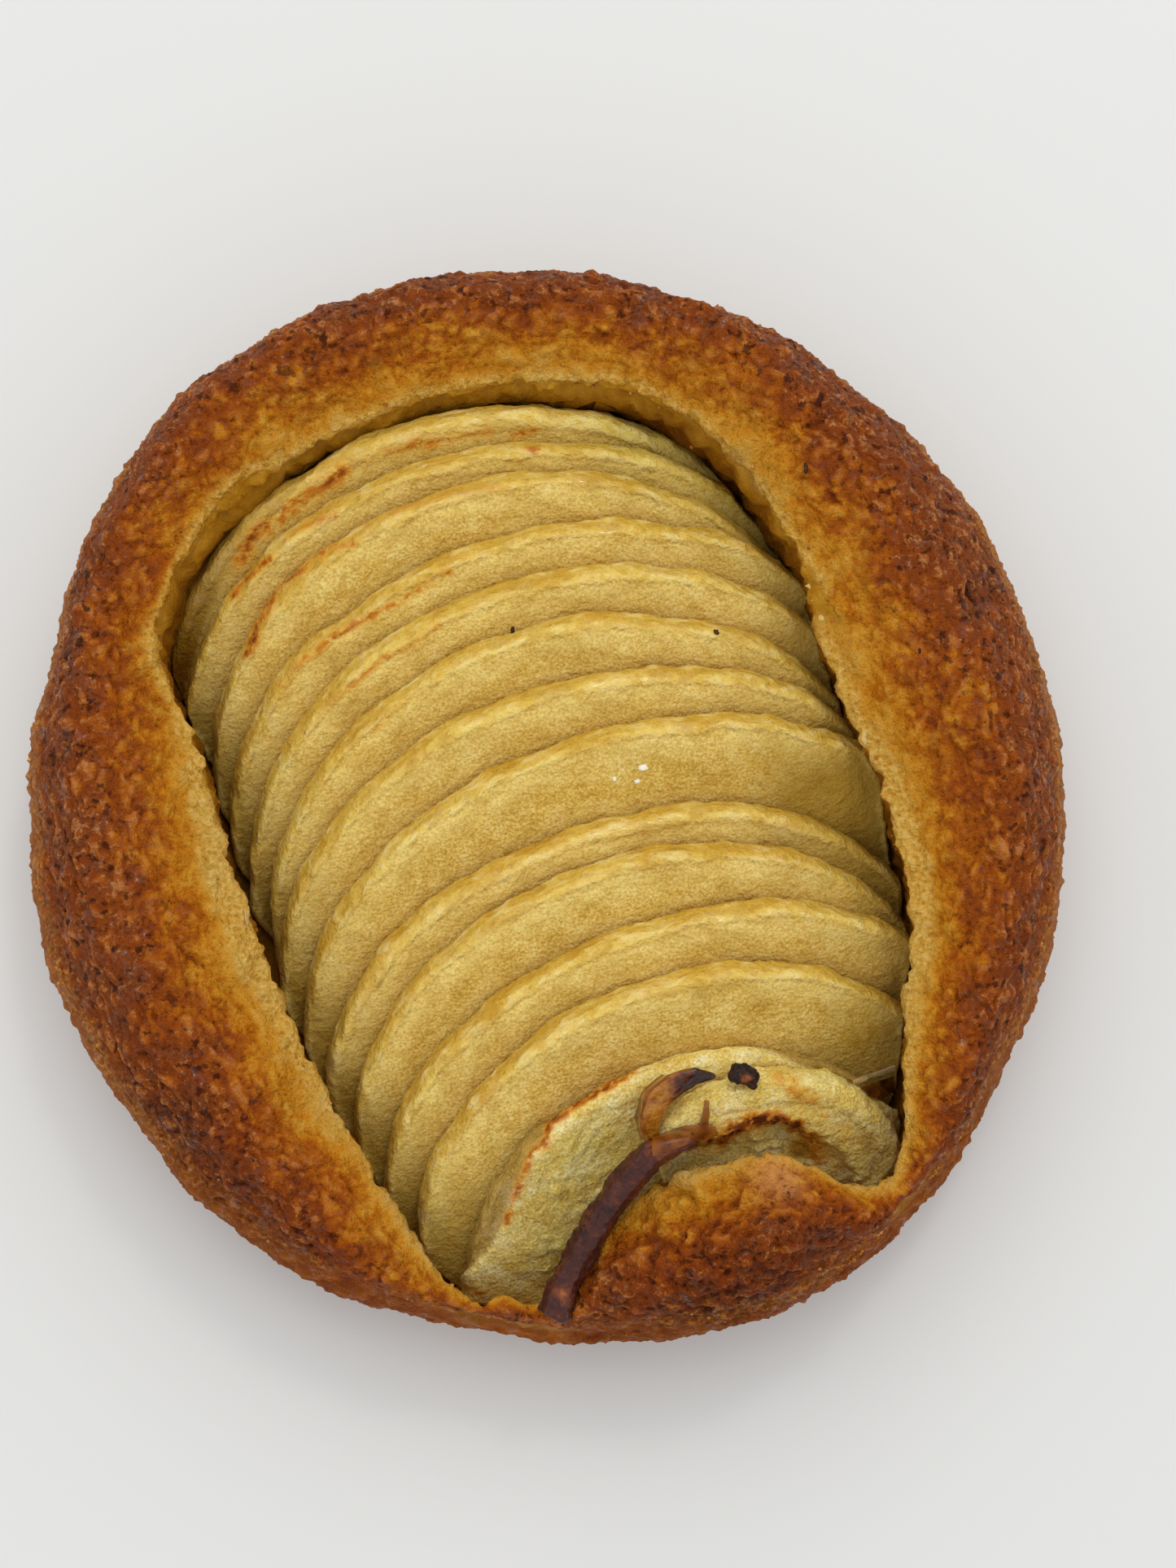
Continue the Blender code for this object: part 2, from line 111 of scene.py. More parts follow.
camera_data = bpy.data.cameras.new("camera")
camera_data.sensor_fit = "VERTICAL"
camera_data.sensor_height = SENSOR_HEIGHT
camera_data.lens = PIXELS_PER_MM * CAMERA_DISTANCE / PHOTO_HEIGHT * SENSOR_HEIGHT
camera_data.clip_start = 0.01
camera_data.clip_end = 10.0
camera = in_scene("camera", camera_data)
backwards = Vector((0.0, -math.sin(CAMERA_TILT), math.cos(CAMERA_TILT)))
camera_place = (CAMERA_AIM + backwards * CAMERA_DISTANCE) * MM
camera_turn = Matrix.Rotation(CAMERA_TILT, 4, "X")
camera.matrix_world = Matrix.Translation(camera_place) @ camera_turn
bpy.context.scene.camera = camera
print("lens", round(camera_data.lens, 2), "mm")

# %% [markdown]
# ## Colours and nodes
# A colour picked from a picture is an sRGB value, while a shader counts in linear light. A function
# turns the first into the second. Another adds any node, sets its values and joins its inputs. A
# class holds a material in the making, so that each finish reads as a list of what lies over what.

# %% Colour and node helpers
def linear(hex_code):
    """The linear colour of an sRGB value such as #B4682C."""
    channels = []
    for place in (1, 3, 5):
        value = int(hex_code[place : place + 2], 16) / 255
        channels.append(value / 12.92 if value <= 0.04045 else ((value + 0.055) / 1.055) ** 2.4)
    return (*channels, 1.0)


def join(tree, node, inputs):
    """Set a node's inputs; each is a value, a hex colour, or the socket that feeds it."""
    for key, value in inputs.items():
        if isinstance(value, bpy.types.NodeSocket):
            tree.links.new(value, node.inputs[key])
        elif isinstance(value, str) and value.startswith("#"):
            node.inputs[key].default_value = linear(value)
        else:
            node.inputs[key].default_value = value


def add(tree, kind, inputs=None, **settings):
    """Add a node to a tree, with its settings and inputs."""
    node = tree.nodes.new(kind)
    for key, value in settings.items():
        setattr(node, key, value)
    join(tree, node, inputs or {})
    return node


def maths(tree, operation, *values):
    """One operation over two or more values, from the left."""
    result = values[0]
    for value in values[1:]:
        result = add(tree, "ShaderNodeMath", {0: result, 1: value}, operation=operation).outputs[0]
    return result


class Finish:
    """A material in the making, and the colour that is laid down so far."""

    def __init__(self, name):
        self.material = bpy.data.materials.new(name)
        self.material.use_nodes = True
        self.tree = self.material.node_tree
        self.where = add(self.tree, "ShaderNodeTexCoord").outputs["Object"]
        self.colour = None

    def noise(self, size, detail=2.0, where=None):
        """Noise whose features are about `size` millimetres; Object coordinates are in metres."""
        inputs = {"Vector": where or self.where, "Scale": 1 / (size * MM), "Detail": detail}
        return add(self.tree, "ShaderNodeTexNoise", inputs).outputs["Fac"]

    def stored(self, name, output="Fac"):
        """What the mesh carries at each point under a name."""
        return add(self.tree, "ShaderNodeAttribute", attribute_name=name).outputs[output]

    def maths(self, operation, *values):
        """As the function above; a value may also be the name of a number that the mesh carries."""
        values = [self.stored(value) if isinstance(value, str) else value for value in values]
        return maths(self.tree, operation, *values)

    def plus(self, *values):
        return self.maths("ADD", *values)

    def less(self, *values):
        return self.maths("SUBTRACT", *values)

    def times(self, *values):
        return self.maths("MULTIPLY", *values)

    def centred(self, value, strength):
        """A value round 0.5 turned into one round 0, and scaled."""
        return self.times(self.less(value, 0.5), strength)

    def eased(self, value, low, high, to_low=0.0, to_high=1.0):
        """A smooth step of a value, from to_low at low to to_high at high."""
        inputs = {"Value": self.times(value), "From Min": low, "From Max": high}
        inputs.update({"To Min": to_low, "To Max": to_high})
        step = add(self.tree, "ShaderNodeMapRange", inputs, interpolation_type="SMOOTHSTEP")
        return step.outputs["Result"]

    def ramp(self, factor, stops):
        """A colour ramp; each stop is a place and a hex colour."""
        node = add(self.tree, "ShaderNodeValToRGB", {"Fac": self.times(factor)})
        while len(node.color_ramp.elements) < len(stops):
            node.color_ramp.elements.new(0.5)
        for element, (place, hex_code) in zip(node.color_ramp.elements, stops):
            element.position = place
            element.color = linear(hex_code)
        return node.outputs["Color"]

    def over(self, below, colour, *amounts, blend="MIX"):
        """A colour laid over another one, as thickly as the product of the amounts says."""
        inputs = {0: self.times(*amounts), 6: below, 7: colour}
        settings = {"data_type": "RGBA", "blend_type": blend}
        return add(self.tree, "ShaderNodeMix", inputs, **settings).outputs[2]

    def lay(self, colour, *amounts, blend="MIX"):
        """Lay a colour over all that is laid down so far."""
        self.colour = self.over(self.colour, colour, *amounts, blend=blend)

    def bump(self, height, distance, strength=1.0, **inputs):
        """A bump whose full height is `distance` millimetres."""
        inputs.update({"Height": height, "Distance": distance * MM, "Strength": strength})
        return add(self.tree, "ShaderNodeBump", inputs).outputs["Normal"]

    def done(self, inputs):
        """The material, with the colour and the other inputs joined to its shader."""
        shader = self.tree.nodes["Principled BSDF"]
        join(self.tree, shader, {"Base Color": self.colour, **inputs})
        return self.material


print("helpers ready")

# %% [markdown]
# ## Floor and light
# The tart lies on a plain pale surface under soft daylight. A large area light at the back gives a
# faint shadow at the front, a small one makes moist spots glint, and an even sky lights the rest.

# %% Floor
FLOOR_SIZE = 6.0


def mesh_of(bm, name):
    """The mesh that a BMesh holds."""
    mesh = bpy.data.meshes.new(name)
    bm.to_mesh(mesh)
    bm.free()
    return mesh


bm = bmesh.new()
bmesh.ops.create_grid(bm, x_segments=1, y_segments=1, size=FLOOR_SIZE / 2)
floor_mesh = mesh_of(bm, "floor")
floor = in_scene("floor", floor_mesh)
board = Finish("matt_pale_board")
board.colour = "#E4E4E2"
floor_mesh.materials.append(board.done({"Roughness": 0.75, "Specular IOR Level": 0.2}))
print("floor", FLOOR_SIZE, "m wide")

# %% Light
LIGHTS = (  # name, place in metres, size in metres, power in watts
    ("window", (0.03, 0.60, 0.95), 1.1, 3.0),
    ("lamp", (0.22, 0.50, 0.90), 0.14, 0.7),
)
LIT_POINT = Vector((0, 0, 0.02))
SKY_STRENGTH = 0.84
for name, place, size, power in LIGHTS:
    data = bpy.data.lights.new(name, "AREA")
    data.shape = "DISK"
    data.size = size
    data.energy = power
    data.color = linear("#FFFEFB")[:3]
    lamp = in_scene(name, data)
    lamp.location = place
    lamp.rotation_euler = (Vector(place) - LIT_POINT).to_track_quat("Z", "Y").to_euler()

world = bpy.data.worlds.new("soft_sky")
world.use_nodes = True
sky = {"Color": "#FDFEFF", "Strength": SKY_STRENGTH}
join(world.node_tree, world.node_tree.nodes["Background"], sky)
bpy.context.scene.world = world
bpy.context.scene.view_settings.view_transform = "Standard"
print(len(LIGHTS), "lights and a sky")

# %% [markdown]
# ## From a plain solid to a fine skin
# A solid of the frame is a shell of loose triangles. Its copy is first welded. A voxel remesh then
# gives it an even skin of small faces, whatever the triangles were like, and a few rounds of
# smoothing melt the facets. Modifiers do this work, and the finished shape is read back as a mesh.

# %% Mesh helpers
WELD_DISTANCE = 1e-6


def with_modifiers(mesh, *modifiers, spared=()):
    """The mesh after these modifiers, each a kind and its settings; they can spare some points."""
    carrier = in_scene("carrier", mesh)
    if len(spared):
        carrier.vertex_groups.new(name="spared").add(spared, 1.0, "REPLACE")
    for kind, settings in modifiers:
        modifier = carrier.modifiers.new(kind.lower(), kind)
        for key, value in settings.items():
            if key.startswith("Socket_"):
                modifier[key] = value
            else:
                setattr(modifier, key, value)
    evaluated = carrier.evaluated_get(bpy.context.evaluated_depsgraph_get())
    made = bpy.data.meshes.new_from_object(evaluated)
    bpy.data.objects.remove(carrier, do_unlink=True)
    return made


def fine_skin(name, voxel, rounds):
    """A remeshed and smoothed copy of one of the frame's solids; the voxel is in millimetres."""
    bm = bmesh.new()
    bm.from_mesh(nodes[name].data)
    bmesh.ops.remove_doubles(bm, verts=bm.verts, dist=WELD_DISTANCE)
    remesh = ("REMESH", {"mode": "VOXEL", "voxel_size": voxel * MM})
    smooth = ("SMOOTH", {"factor": 0.5, "iterations": rounds})
    return with_modifiers(mesh_of(bm, name), remesh, smooth)


def rows(items, field):
    """Three numbers of each item, one item a row."""
    values = np.empty(len(items) * 3, np.float32)
    items.foreach_get(field, values)
    return values.reshape(-1, 3).astype(float)


def places(mesh):
    """The mesh's points in millimetres."""
    return rows(mesh.vertices, "co") / MM


def normals_of(mesh):
    return rows(mesh.vertex_normals, "vector")


def put_places(mesh, points):
    mesh.vertices.foreach_set("co", (points * MM).astype(np.float32).ravel())
    mesh.update()


def keep(mesh, name, values):
    """Store one number for each point, for a material to read."""
    attribute = mesh.attributes.new(name, "FLOAT", "POINT")
    attribute.data.foreach_set("value", np.asarray(values, np.float32))


def keep_places(mesh, name, points):
    """Store one place in millimetres for each point, as the metres that a material reads."""
    attribute = mesh.attributes.new(name, "FLOAT_VECTOR", "POINT")
    attribute.data.foreach_set("vector", (points * MM).astype(np.float32).ravel())


def triangles(mesh):
    return sum(len(face.vertices) - 2 for face in mesh.polygons)


def show(name, mesh, finish, stands_for=(), slot=None):
    """Link a finished piece, and make it ride on the tart and stand for the frame's solids."""
    lowest, highest = (np.array(corner) / MM for corner in cad_box)
    put_places(mesh, np.clip(places(mesh), lowest, highest))
    mesh.materials.clear()
    mesh.materials.append(finish)
    mesh.shade_smooth()
    mesh.name = name
    piece = in_scene(name, mesh)
    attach(piece, "root")
    if stands_for:
        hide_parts(*stands_for)
    print(name, triangles(mesh), "triangles")


# %% [markdown]
# ## Chance that stays the same
# Baking leaves nothing even. Fractal noise gives hills and hollows of any size. It is a fixed
# function of a place, so the tart is the same in every run. A stretched copy of the places turns
# round hills into long wrinkles.

# %% Noise helpers
def hills(points, size, octaves=3, seed=0.0):
    """Hills and hollows, mostly between -1 and 1, about `size` millimetres apart."""
    shifted = points / size + seed
    return np.array([noise.fractal(place, 1.0, 2.0, octaves) for place in shifted.tolist()])


def knobs(points, size, octaves=2, seed=0.0):
    """Rounded knobs with creases between them, from 0 in a crease up to about 1."""
    return np.abs(hills(points, size, octaves, seed)) * 2


def step_up(values, low, high):
    """0 below low, 1 above high, and a smooth rise between them."""
    share = np.clip((values - low) / (high - low), 0.0, 1.0)
    return share * share * (3 - 2 * share)


def bell(values, power=2):
    """1 where a value is 0, fading to nothing well beyond 1."""
    return np.exp(-(values**power))


print("noise ready")

# %% [markdown]
# ## Finding a place from the photo
# Some marks are easiest to name by where the photo shows them. A ray from the camera through that
# pixel meets the solid that carries the mark, and this point in millimetres is used from then on.
# Other marks run along a line of pixels, and there a point's distance from the line as seen counts.

# %% Rays through pixels
solid_shapes = bmesh.new()
for solid in nodes.values():
    solid_shapes.from_mesh(solid.data)
all_solids = BVHTree.FromBMesh(solid_shapes)
solid_shapes.free()


def under(pixel):
    """The point in millimetres where the camera's ray through a pixel meets the tart."""
    across = (pixel[0] - PHOTO_WIDTH / 2) / (PIXELS_PER_MM * CAMERA_DISTANCE)
    up = (PHOTO_HEIGHT / 2 - pixel[1]) / (PIXELS_PER_MM * CAMERA_DISTANCE)
    ray = (camera_turn.to_3x3() @ Vector((across, up, -1.0))).normalized()
    return np.array(all_solids.ray_cast(camera_place, ray)[0]) / MM


def patch(points, pixel, radius):
    """1 at the point under a pixel, fading to 0 over about the radius in millimetres."""
    return bell(np.linalg.norm(points - under(pixel), axis=1) / radius)


def pixels_of(points):
    """Where the camera sees each point, in pixels of the photo."""
    seen = (points - np.array(camera_place) / MM) @ np.array(camera_turn.to_3x3())
    scale = PIXELS_PER_MM * CAMERA_DISTANCE / -seen[:, 2]
    right, down = PHOTO_WIDTH / 2 + seen[:, 0] * scale, PHOTO_HEIGHT / 2 - seen[:, 1] * scale
    return np.stack((right, down), axis=1)


def left_of(points, line):
    """Millimetres from each point to a line of pixels, as seen; more than 0 on the line's left."""
    seen = pixels_of(points)
    nearest = np.full(len(points), np.inf)
    side = np.zeros(len(points))
    for start, end in zip(np.array(line, float), np.array(line[1:], float)):
        along = end - start
        offset = seen - start
        share = np.clip(offset @ along / (along @ along), 0.0, 1.0)
        gap = np.linalg.norm(offset - share[:, None] * along, axis=1)
        closer = gap < nearest
        nearest[closer] = gap[closer]
        side[closer] = np.sign(along[1] * offset[closer, 0] - along[0] * offset[closer, 1])
    return nearest * side / PIXELS_PER_MM


print("the stem's top is at", under((800, 1410)).round(1), "mm")

# %% [markdown]
# ## Where the lip and the outline are
# The crust's colour depends on how far a spot lies from the opening's lip: pale and moist there,
# dark where it stands highest. Rays fired outwards from the middle find the lip, and rays fired
# inwards find the outline, so both follow the solid whatever its shape.

# %% Lip and outline
RING_MIDDLE = np.array((0.0, -5.0))
RING_STEPS = 360
LIP_HEIGHTS = np.arange(12.0, 30.0, 0.5)
OUTLINE_HEIGHTS = np.arange(8.0, 22.0, 1.0)
FAR = 200.0


def search_tree(name):
    """One of the frame's solids, made ready for rays and for finding its nearest point."""
    data = nodes[name].data
    corners = [vertex.co.copy() for vertex in data.vertices]
    return BVHTree.FromPolygons(corners, [tuple(face.vertices) for face in data.polygons])


case_tree = search_tree("case")
ring_angles = np.linspace(-math.pi, math.pi, RING_STEPS, endpoint=False)
lip_radius = np.full(RING_STEPS, FAR)
lip_height = np.zeros(RING_STEPS)
outline_radius = np.zeros(RING_STEPS)
for number, angle in enumerate(ring_angles):
    outwards = Vector((math.cos(angle), math.sin(angle), 0.0))
    for height in LIP_HEIGHTS:
        start = Vector((*RING_MIDDLE, height)) * MM
        reach = case_tree.ray_cast(start, outwards)[3]
        if reach is not None and reach / MM < lip_radius[number]:
            lip_radius[number] = reach / MM
            lip_height[number] = height
    for height in OUTLINE_HEIGHTS:
        start = Vector((*RING_MIDDLE, height)) * MM + outwards * FAR * MM
        reach = case_tree.ray_cast(start, -outwards)[3]
        if reach is not None:
            outline_radius[number] = max(outline_radius[number], FAR - reach / MM)


def round_ring(angle, values):
    """A value that is known at each step of the ring, at any angle."""
    return np.interp(angle, ring_angles, values, period=2 * math.pi)


def ring_place(points):
    """Angle, distance from the lip and distance from the outline of each point, seen from above."""
    offset = points[:, :2] - RING_MIDDLE
    angle = np.arctan2(offset[:, 1], offset[:, 0])
    radius = np.linalg.norm(offset, axis=1)
    return angle, radius - round_ring(angle, lip_radius), round_ring(angle, outline_radius) - radius


def turn_from(angle, middle):
    """How far each angle is turned from one in the middle, in degrees."""
    return (np.degrees(angle) - middle + 180.0) % 360.0 - 180.0


print("lip", lip_radius.min().round(1), "to", lip_radius.max().round(1), "mm from the middle")

# %% [markdown]
# ## The crust's relief
# The case is a cake-like pastry. Its skin has broad lumps, knobs and grains with creases between
# them, which the size of a noise sets, and short cracks that follow the ring. Each is a layer that
# moves the points along their normals. The foot stays flat, and the inner wall, which steamed under
# the apple's juice, is smoother. The lip is pulled a little over the opening, in uneven flakes.

# %% Crust shape
CRUST_VOXEL = 0.3
CRUST_SMOOTHING = 8
RING_RADIUS = 45.0
RING_STRETCH = 1.5  # how much longer a crease runs round the ring than across it
LUMPS = (8.0, 0.5)  # size and height in millimetres
KNOBS = (3.6, 0.5)
GRAINS = (1.5, 0.27)
FINE_GRAINS = (0.7, 0.17)
CRACKS = (1.9, 0.75)
CRACKED_PARTS = 11.0  # size in millimetres of the parts with cracks and the parts without
MOUND = ((880, 1500), 9.0)  # pixel and radius in millimetres of the craggy dough at the front
CRAGS = (3.6, 1.5)
LIP_FLAKES = ((2.4, 0.8), (1.1, 0.4))
LIP_PULL = 0.55
LIP_EDGE = (0.2, 1.3)  # where from the lip it is pulled most, and how far round there
WALL_BULGE = 2.0  # how far the wall at the back leans in under the lip
WALL_STRETCH = (104.0, 62.0)  # angle and width in degrees of that part of the wall
SETTLING = 0.55  # the skin sinks by this much, so that its knobs stay within the solid
CALMER_WALL = 0.15  # how much of the relief is left on the inner wall
CALMER_SIDES = 0.3  # how much of the coarse relief is left below the widest place


def ring_places(points):
    """The points of a ring that is drawn together, so that creases along it come out longer."""
    angle, _, _ = ring_place(points)
    radius = np.linalg.norm(points[:, :2] - RING_MIDDLE, axis=1)
    smaller = radius - RING_RADIUS + RING_RADIUS / RING_STRETCH
    return np.stack((np.cos(angle) * smaller, np.sin(angle) * smaller, points[:, 2]), axis=1)


def crust_relief(points):
    """How far each point of the crust moves along its normal, and how deep it lies in a crease."""
    _, from_lip, from_outline = ring_place(points)
    ring = ring_places(points)
    small = knobs(ring, GRAINS[0], 2, 2.0) * GRAINS[1]
    small = small + knobs(points, FINE_GRAINS[0], 1, 4.0) * FINE_GRAINS[1]
    coarse = hills(points, LUMPS[0], 2) * LUMPS[1] + knobs(ring, KNOBS[0], 2, 6.0) * KNOBS[1]
    coarse = coarse * (CALMER_SIDES + (1 - CALMER_SIDES) * step_up(from_outline, 0.0, 5.0))
    crack = step_up(-hills(ring, CRACKS[0], 3, 8.0), 0.45, 0.8)
    crack *= step_up(hills(points, CRACKED_PARTS, 2, 9.0), -0.3, 0.3) * step_up(from_lip, 2.0, 5.0)
    outside = step_up(from_lip, -0.5, 1.5)
    above_foot = step_up(points[:, 2], 0.3, 3.0)
    rough = (CALMER_WALL + (1 - CALMER_WALL) * outside) * above_foot
    relief = rough * (coarse + small - SETTLING)
    relief -= crack * CRACKS[1] * outside * above_foot
    mound = patch(points, *MOUND)
    crags = knobs(points, CRAGS[0], 3, 10.0) * mound * outside
    relief += (crags - 0.4 * mound * outside) * CRAGS[1]
    depth = (small.mean() - small) / small.std() * 0.5 + 0.9 * crack
    depth += mound * step_up(0.3 - crags, 0.0, 0.3) * 0.8
    return relief, np.clip(depth, -1.0, 2.0) * rough


def lip_pull(points):
    """How far the lip's flakes, and the wall below them, reach over the opening."""
    angle, from_lip, _ = ring_place(points)
    flakes = sum(hills(points, size, 2, 12.0) * height for size, height in LIP_FLAKES)
    edge = bell((from_lip - LIP_EDGE[0]) / LIP_EDGE[1]) * step_up(points[:, 2], 12.0, 15.0)
    below = round_ring(angle, lip_height) - points[:, 2]
    stretch = bell(turn_from(angle, WALL_STRETCH[0]) / WALL_STRETCH[1], 4)
    bulge = WALL_BULGE * stretch * step_up(below, 0.6, 3.0)
    wall = (1 - step_up(from_lip, 2.0, 3.5)) * step_up(points[:, 2], 5.5, 9.0) * bulge
    return edge * np.clip(LIP_PULL + flakes, -0.2, 1.4) + wall


crust = fine_skin("case", CRUST_VOXEL, CRUST_SMOOTHING)
points = places(crust)
relief, crease = crust_relief(points)
inwards = RING_MIDDLE - points[:, :2]
inwards /= np.linalg.norm(inwards, axis=1)[:, None]
pull = lip_pull(points)
points += normals_of(crust) * relief[:, None]
points[:, :2] += inwards * pull[:, None]
lowest, highest = (np.array(corner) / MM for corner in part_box("case"))
put_places(crust, np.clip(points, lowest, highest))
keep(crust, "crease", crease)
print("crust", triangles(crust), "triangles before they are thinned out")

# %% [markdown]
# ## Spending the triangles where they show
# The fine skin has far more faces than it needs. A first decimation spares the top of the ring and
# the foot's edge, by a vertex group, and thins out the sides, the underside and the hollow. Another
# one, over everything, takes faces from where the skin is plainest.

# %% Crust triangles
SPARED_TRIANGLES = 310000
FOOT_EDGE = 2.0  # millimetres up to which the foot keeps its round edge
CRUST_TRIANGLES = 192000
points = places(crust)
_, from_lip, _ = ring_place(points)
upwards = normals_of(crust)[:, 2]
spared = (from_lip > -1.0) & (upwards > -0.3) & (points[:, 2] > 8.0)
spared |= (points[:, 2] < FOOT_EDGE) & (upwards > -0.8)
thinner = {
    "ratio": SPARED_TRIANGLES / triangles(crust),
    "vertex_group": "spared",
    "invert_vertex_group": True,
}
crust = with_modifiers(crust, ("DECIMATE", thinner), spared=np.nonzero(spared)[0].tolist())
crust = with_modifiers(crust, ("DECIMATE", {"ratio": CRUST_TRIANGLES / triangles(crust)}))
print("crust", triangles(crust), "triangles")

# %% [markdown]
# ## How far each spot is baked
# One number, from 0 for pale dough to 1 for nearly burnt, follows the distance from the lip. Some
# stretches of the ring baked faster or slower, which a few gentle bumps round the ring add. Other
# numbers tell the moist inner wall from the dry crust, the pale strip inside the lip, the crumbly
# ledge low on the side, and the parts that are ruddier. Others say where shade is painted, deeper
# down the wall and in its hollows, and where a painted sheen lies along the outer edge.

# %% Crust baking
BAKED_BY_SHARE = (  # share of the way from the lip to the outline, and how far it is baked there
    (-0.1, 0.04),
    (0.0, 0.17),
    (0.06, 0.26),
    (0.15, 0.36),
    (0.28, 0.47),
    (0.42, 0.58),
    (0.56, 0.69),
    (0.7, 0.78),
    (1.0, 0.84),
)
BAKED_STRETCHES = (  # angle and width in degrees, share and width of it, and how much more or less
    (-165.0, 28.0, 0.1, 0.12, -0.16),
    (0.0, 26.0, 0.1, 0.1, -0.08),
    (-20.0, 20.0, 0.1, 0.1, -0.05),
    (-90.0, 12.0, 0.1, 0.5, 0.22),
    (-170.0, 28.0, 0.9, 0.14, -0.14),
    (0.0, 28.0, 0.9, 0.12, -0.1),
    (-105.0, 10.0, 0.75, 0.3, -0.2),
    (-165.0, 12.0, 0.55, 0.12, 0.1),
    (-135.0, 16.0, 0.8, 0.2, 0.08),
    (0.0, 16.0, 0.5, 0.3, -0.08),
    (148.0, 12.0, 0.1, 0.15, 0.2),
    (45.0, 24.0, 0.55, 0.2, 0.05),
    (-68.0, 16.0, 0.95, 0.14, 0.22),
)
PALER_MOUND = ((872, 1478), 3.5, -0.12)  # pixel, radius in mm and how much less it is baked
RUDDY_FRONT = (-85.0, 65.0)  # angle and width in degrees of the part whose outer half is ruddier
CREAM_STRIPS = ((-165.0, 28.0, 2.0), (-5.0, 22.0, 1.5))  # angle and width, and mm from the lip
USUAL_STRIP = 0.6
NO_STRIP = (-85.0, 42.0)  # angle and width in degrees of the part without a pale strip
BACK_EDGE = (  # pixels of the lip's edge round the back, from the left to the right
    ((192, 780), (205, 740), (222, 698), (240, 662), (264, 620), (300, 584), (354, 568))
    + ((420, 530), (504, 494), (570, 476), (660, 467), (756, 470), (805, 488), (856, 518))
    + ((902, 568), (942, 616), (982, 679), (1011, 726))
)
BACK_CREAM = 0.9  # width in millimetres of the pale edge there
PINK_BULGE = ((955, 1447), 2.6)  # pixel and radius of a smooth bulge at the foot of the arch
# Painted shade: these parts of the inner wall are painted darker, for the shade in the hollows
# under the lip.
HOLLOW_SHADE_SPOTS = (  # pixel and radius of the shaded, juice-soaked parts of the inner wall
    ((835, 512), 4.5),
    ((885, 560), 3.5),
    ((925, 610), 2.5),
    ((215, 845), 3.0),
    ((240, 905), 2.0),
)
LEDGE = (18.5, 1.8)  # height of the crumbly ledge in millimetres, and how far it reaches


def share_of_way(from_lip, from_outline):
    """How far each point is on its way from the lip to the outline."""
    return from_lip / np.maximum(from_lip + from_outline, 3.0)


def baked(points):
    angle, from_lip, from_outline = ring_place(points)
    way = share_of_way(from_lip, from_outline)
    value = np.interp(way, *zip(*BAKED_BY_SHARE))
    for middle, width, share, reach, more in BAKED_STRETCHES:
        turn = turn_from(angle, middle)
        value += more * np.exp(-((turn / width) ** 2) - ((way - share) / reach) ** 2)
    value += hills(points, 6.0, 2, seed=31.0) * 0.1
    value += patch(points, *PALER_MOUND[:2]) * PALER_MOUND[2]
    return np.clip(value, 0.0, 1.1)


points = places(crust)
angle, from_lip, from_outline = ring_place(points)
height = points[:, 2]
bake = baked(points)
keep(crust, "bake", bake)
keep(crust, "pink", patch(points, *PINK_BULGE))
# Painted shade in the wall's hollows.
keep(crust, "hollow", np.clip(sum(patch(points, *spot) for spot in HOLLOW_SHADE_SPOTS), 0.0, 1.0))
print("baked from", bake.min().round(2), "to", bake.max().round(2))

# %% Inner wall and pale strip
below = round_ring(angle, lip_height) - height
inner = step_up(below, 0.7, 1.7) * (1 - step_up(from_lip, 3.0, 5.0))
inner = np.maximum(1 - step_up(from_lip, -1.2, -0.2), inner)
within = -left_of(points, BACK_EDGE) + hills(points, 1.3, 2, 35.0) * 0.35
at_back = 1 - step_up(pixels_of(points)[:, 1], 740.0, 790.0)
inner = np.maximum(inner, at_back * step_up(within, -0.1, 0.3))
keep(crust, "inner", inner * step_up(height, 3.0, 5.5))
# Painted shade: the wall is painted darker the deeper it lies below the lip.
keep(crust, "depth", step_up(below, 0.5, 4.5))
strip = np.full(len(points), USUAL_STRIP)
for middle, width, reach in CREAM_STRIPS:
    strip += reach * bell(turn_from(angle, middle) / width)
strip += hills(points, 1.8, 2, 33.0) * 0.6
cream = (1 - step_up(from_lip, strip - 0.3, strip + 0.5)) * (1 - at_back)
cream = np.maximum(cream, at_back * step_up(within, -BACK_CREAM - 0.3, -BACK_CREAM + 0.2))
front = bell(turn_from(angle, NO_STRIP[0]) / NO_STRIP[1], 4)
keep(crust, "cream", cream * (1 - front) * (1 - inner))
print("the inner wall takes up", int(inner.mean() * 100), "percent of the points")

# %% Ledge, side and ruddy parts, and a painted sheen at the outer edge
ledge = bell((height - LEDGE[0]) / LEDGE[1]) * step_up(from_lip, 2.0, 4.0)
keep(crust, "ledge", ledge * step_up(-from_outline, -4.0, -1.0))
keep(crust, "side", (1 - step_up(height, 15.0, 19.0)) * step_up(from_lip, 1.0, 3.0))
ruddy = bell(turn_from(angle, RUDDY_FRONT[0]) / RUDDY_FRONT[1], 4)
ruddy *= step_up(share_of_way(from_lip, from_outline), 0.35, 0.7)
keep(crust, "ruddy", ruddy)
# Painted sheen: the outer edge, away from the front, is laid paler and pinker, for a reflection on
# its glaze.
outer_edge_sheen = (1 - step_up(from_outline, 0.4, 2.4)) * (1 - ruddy) * step_up(from_lip, 1.0, 3.0)
keep(crust, "outer_edge_sheen", outer_edge_sheen)
print("the crust carries", len(crust.attributes), "attributes")
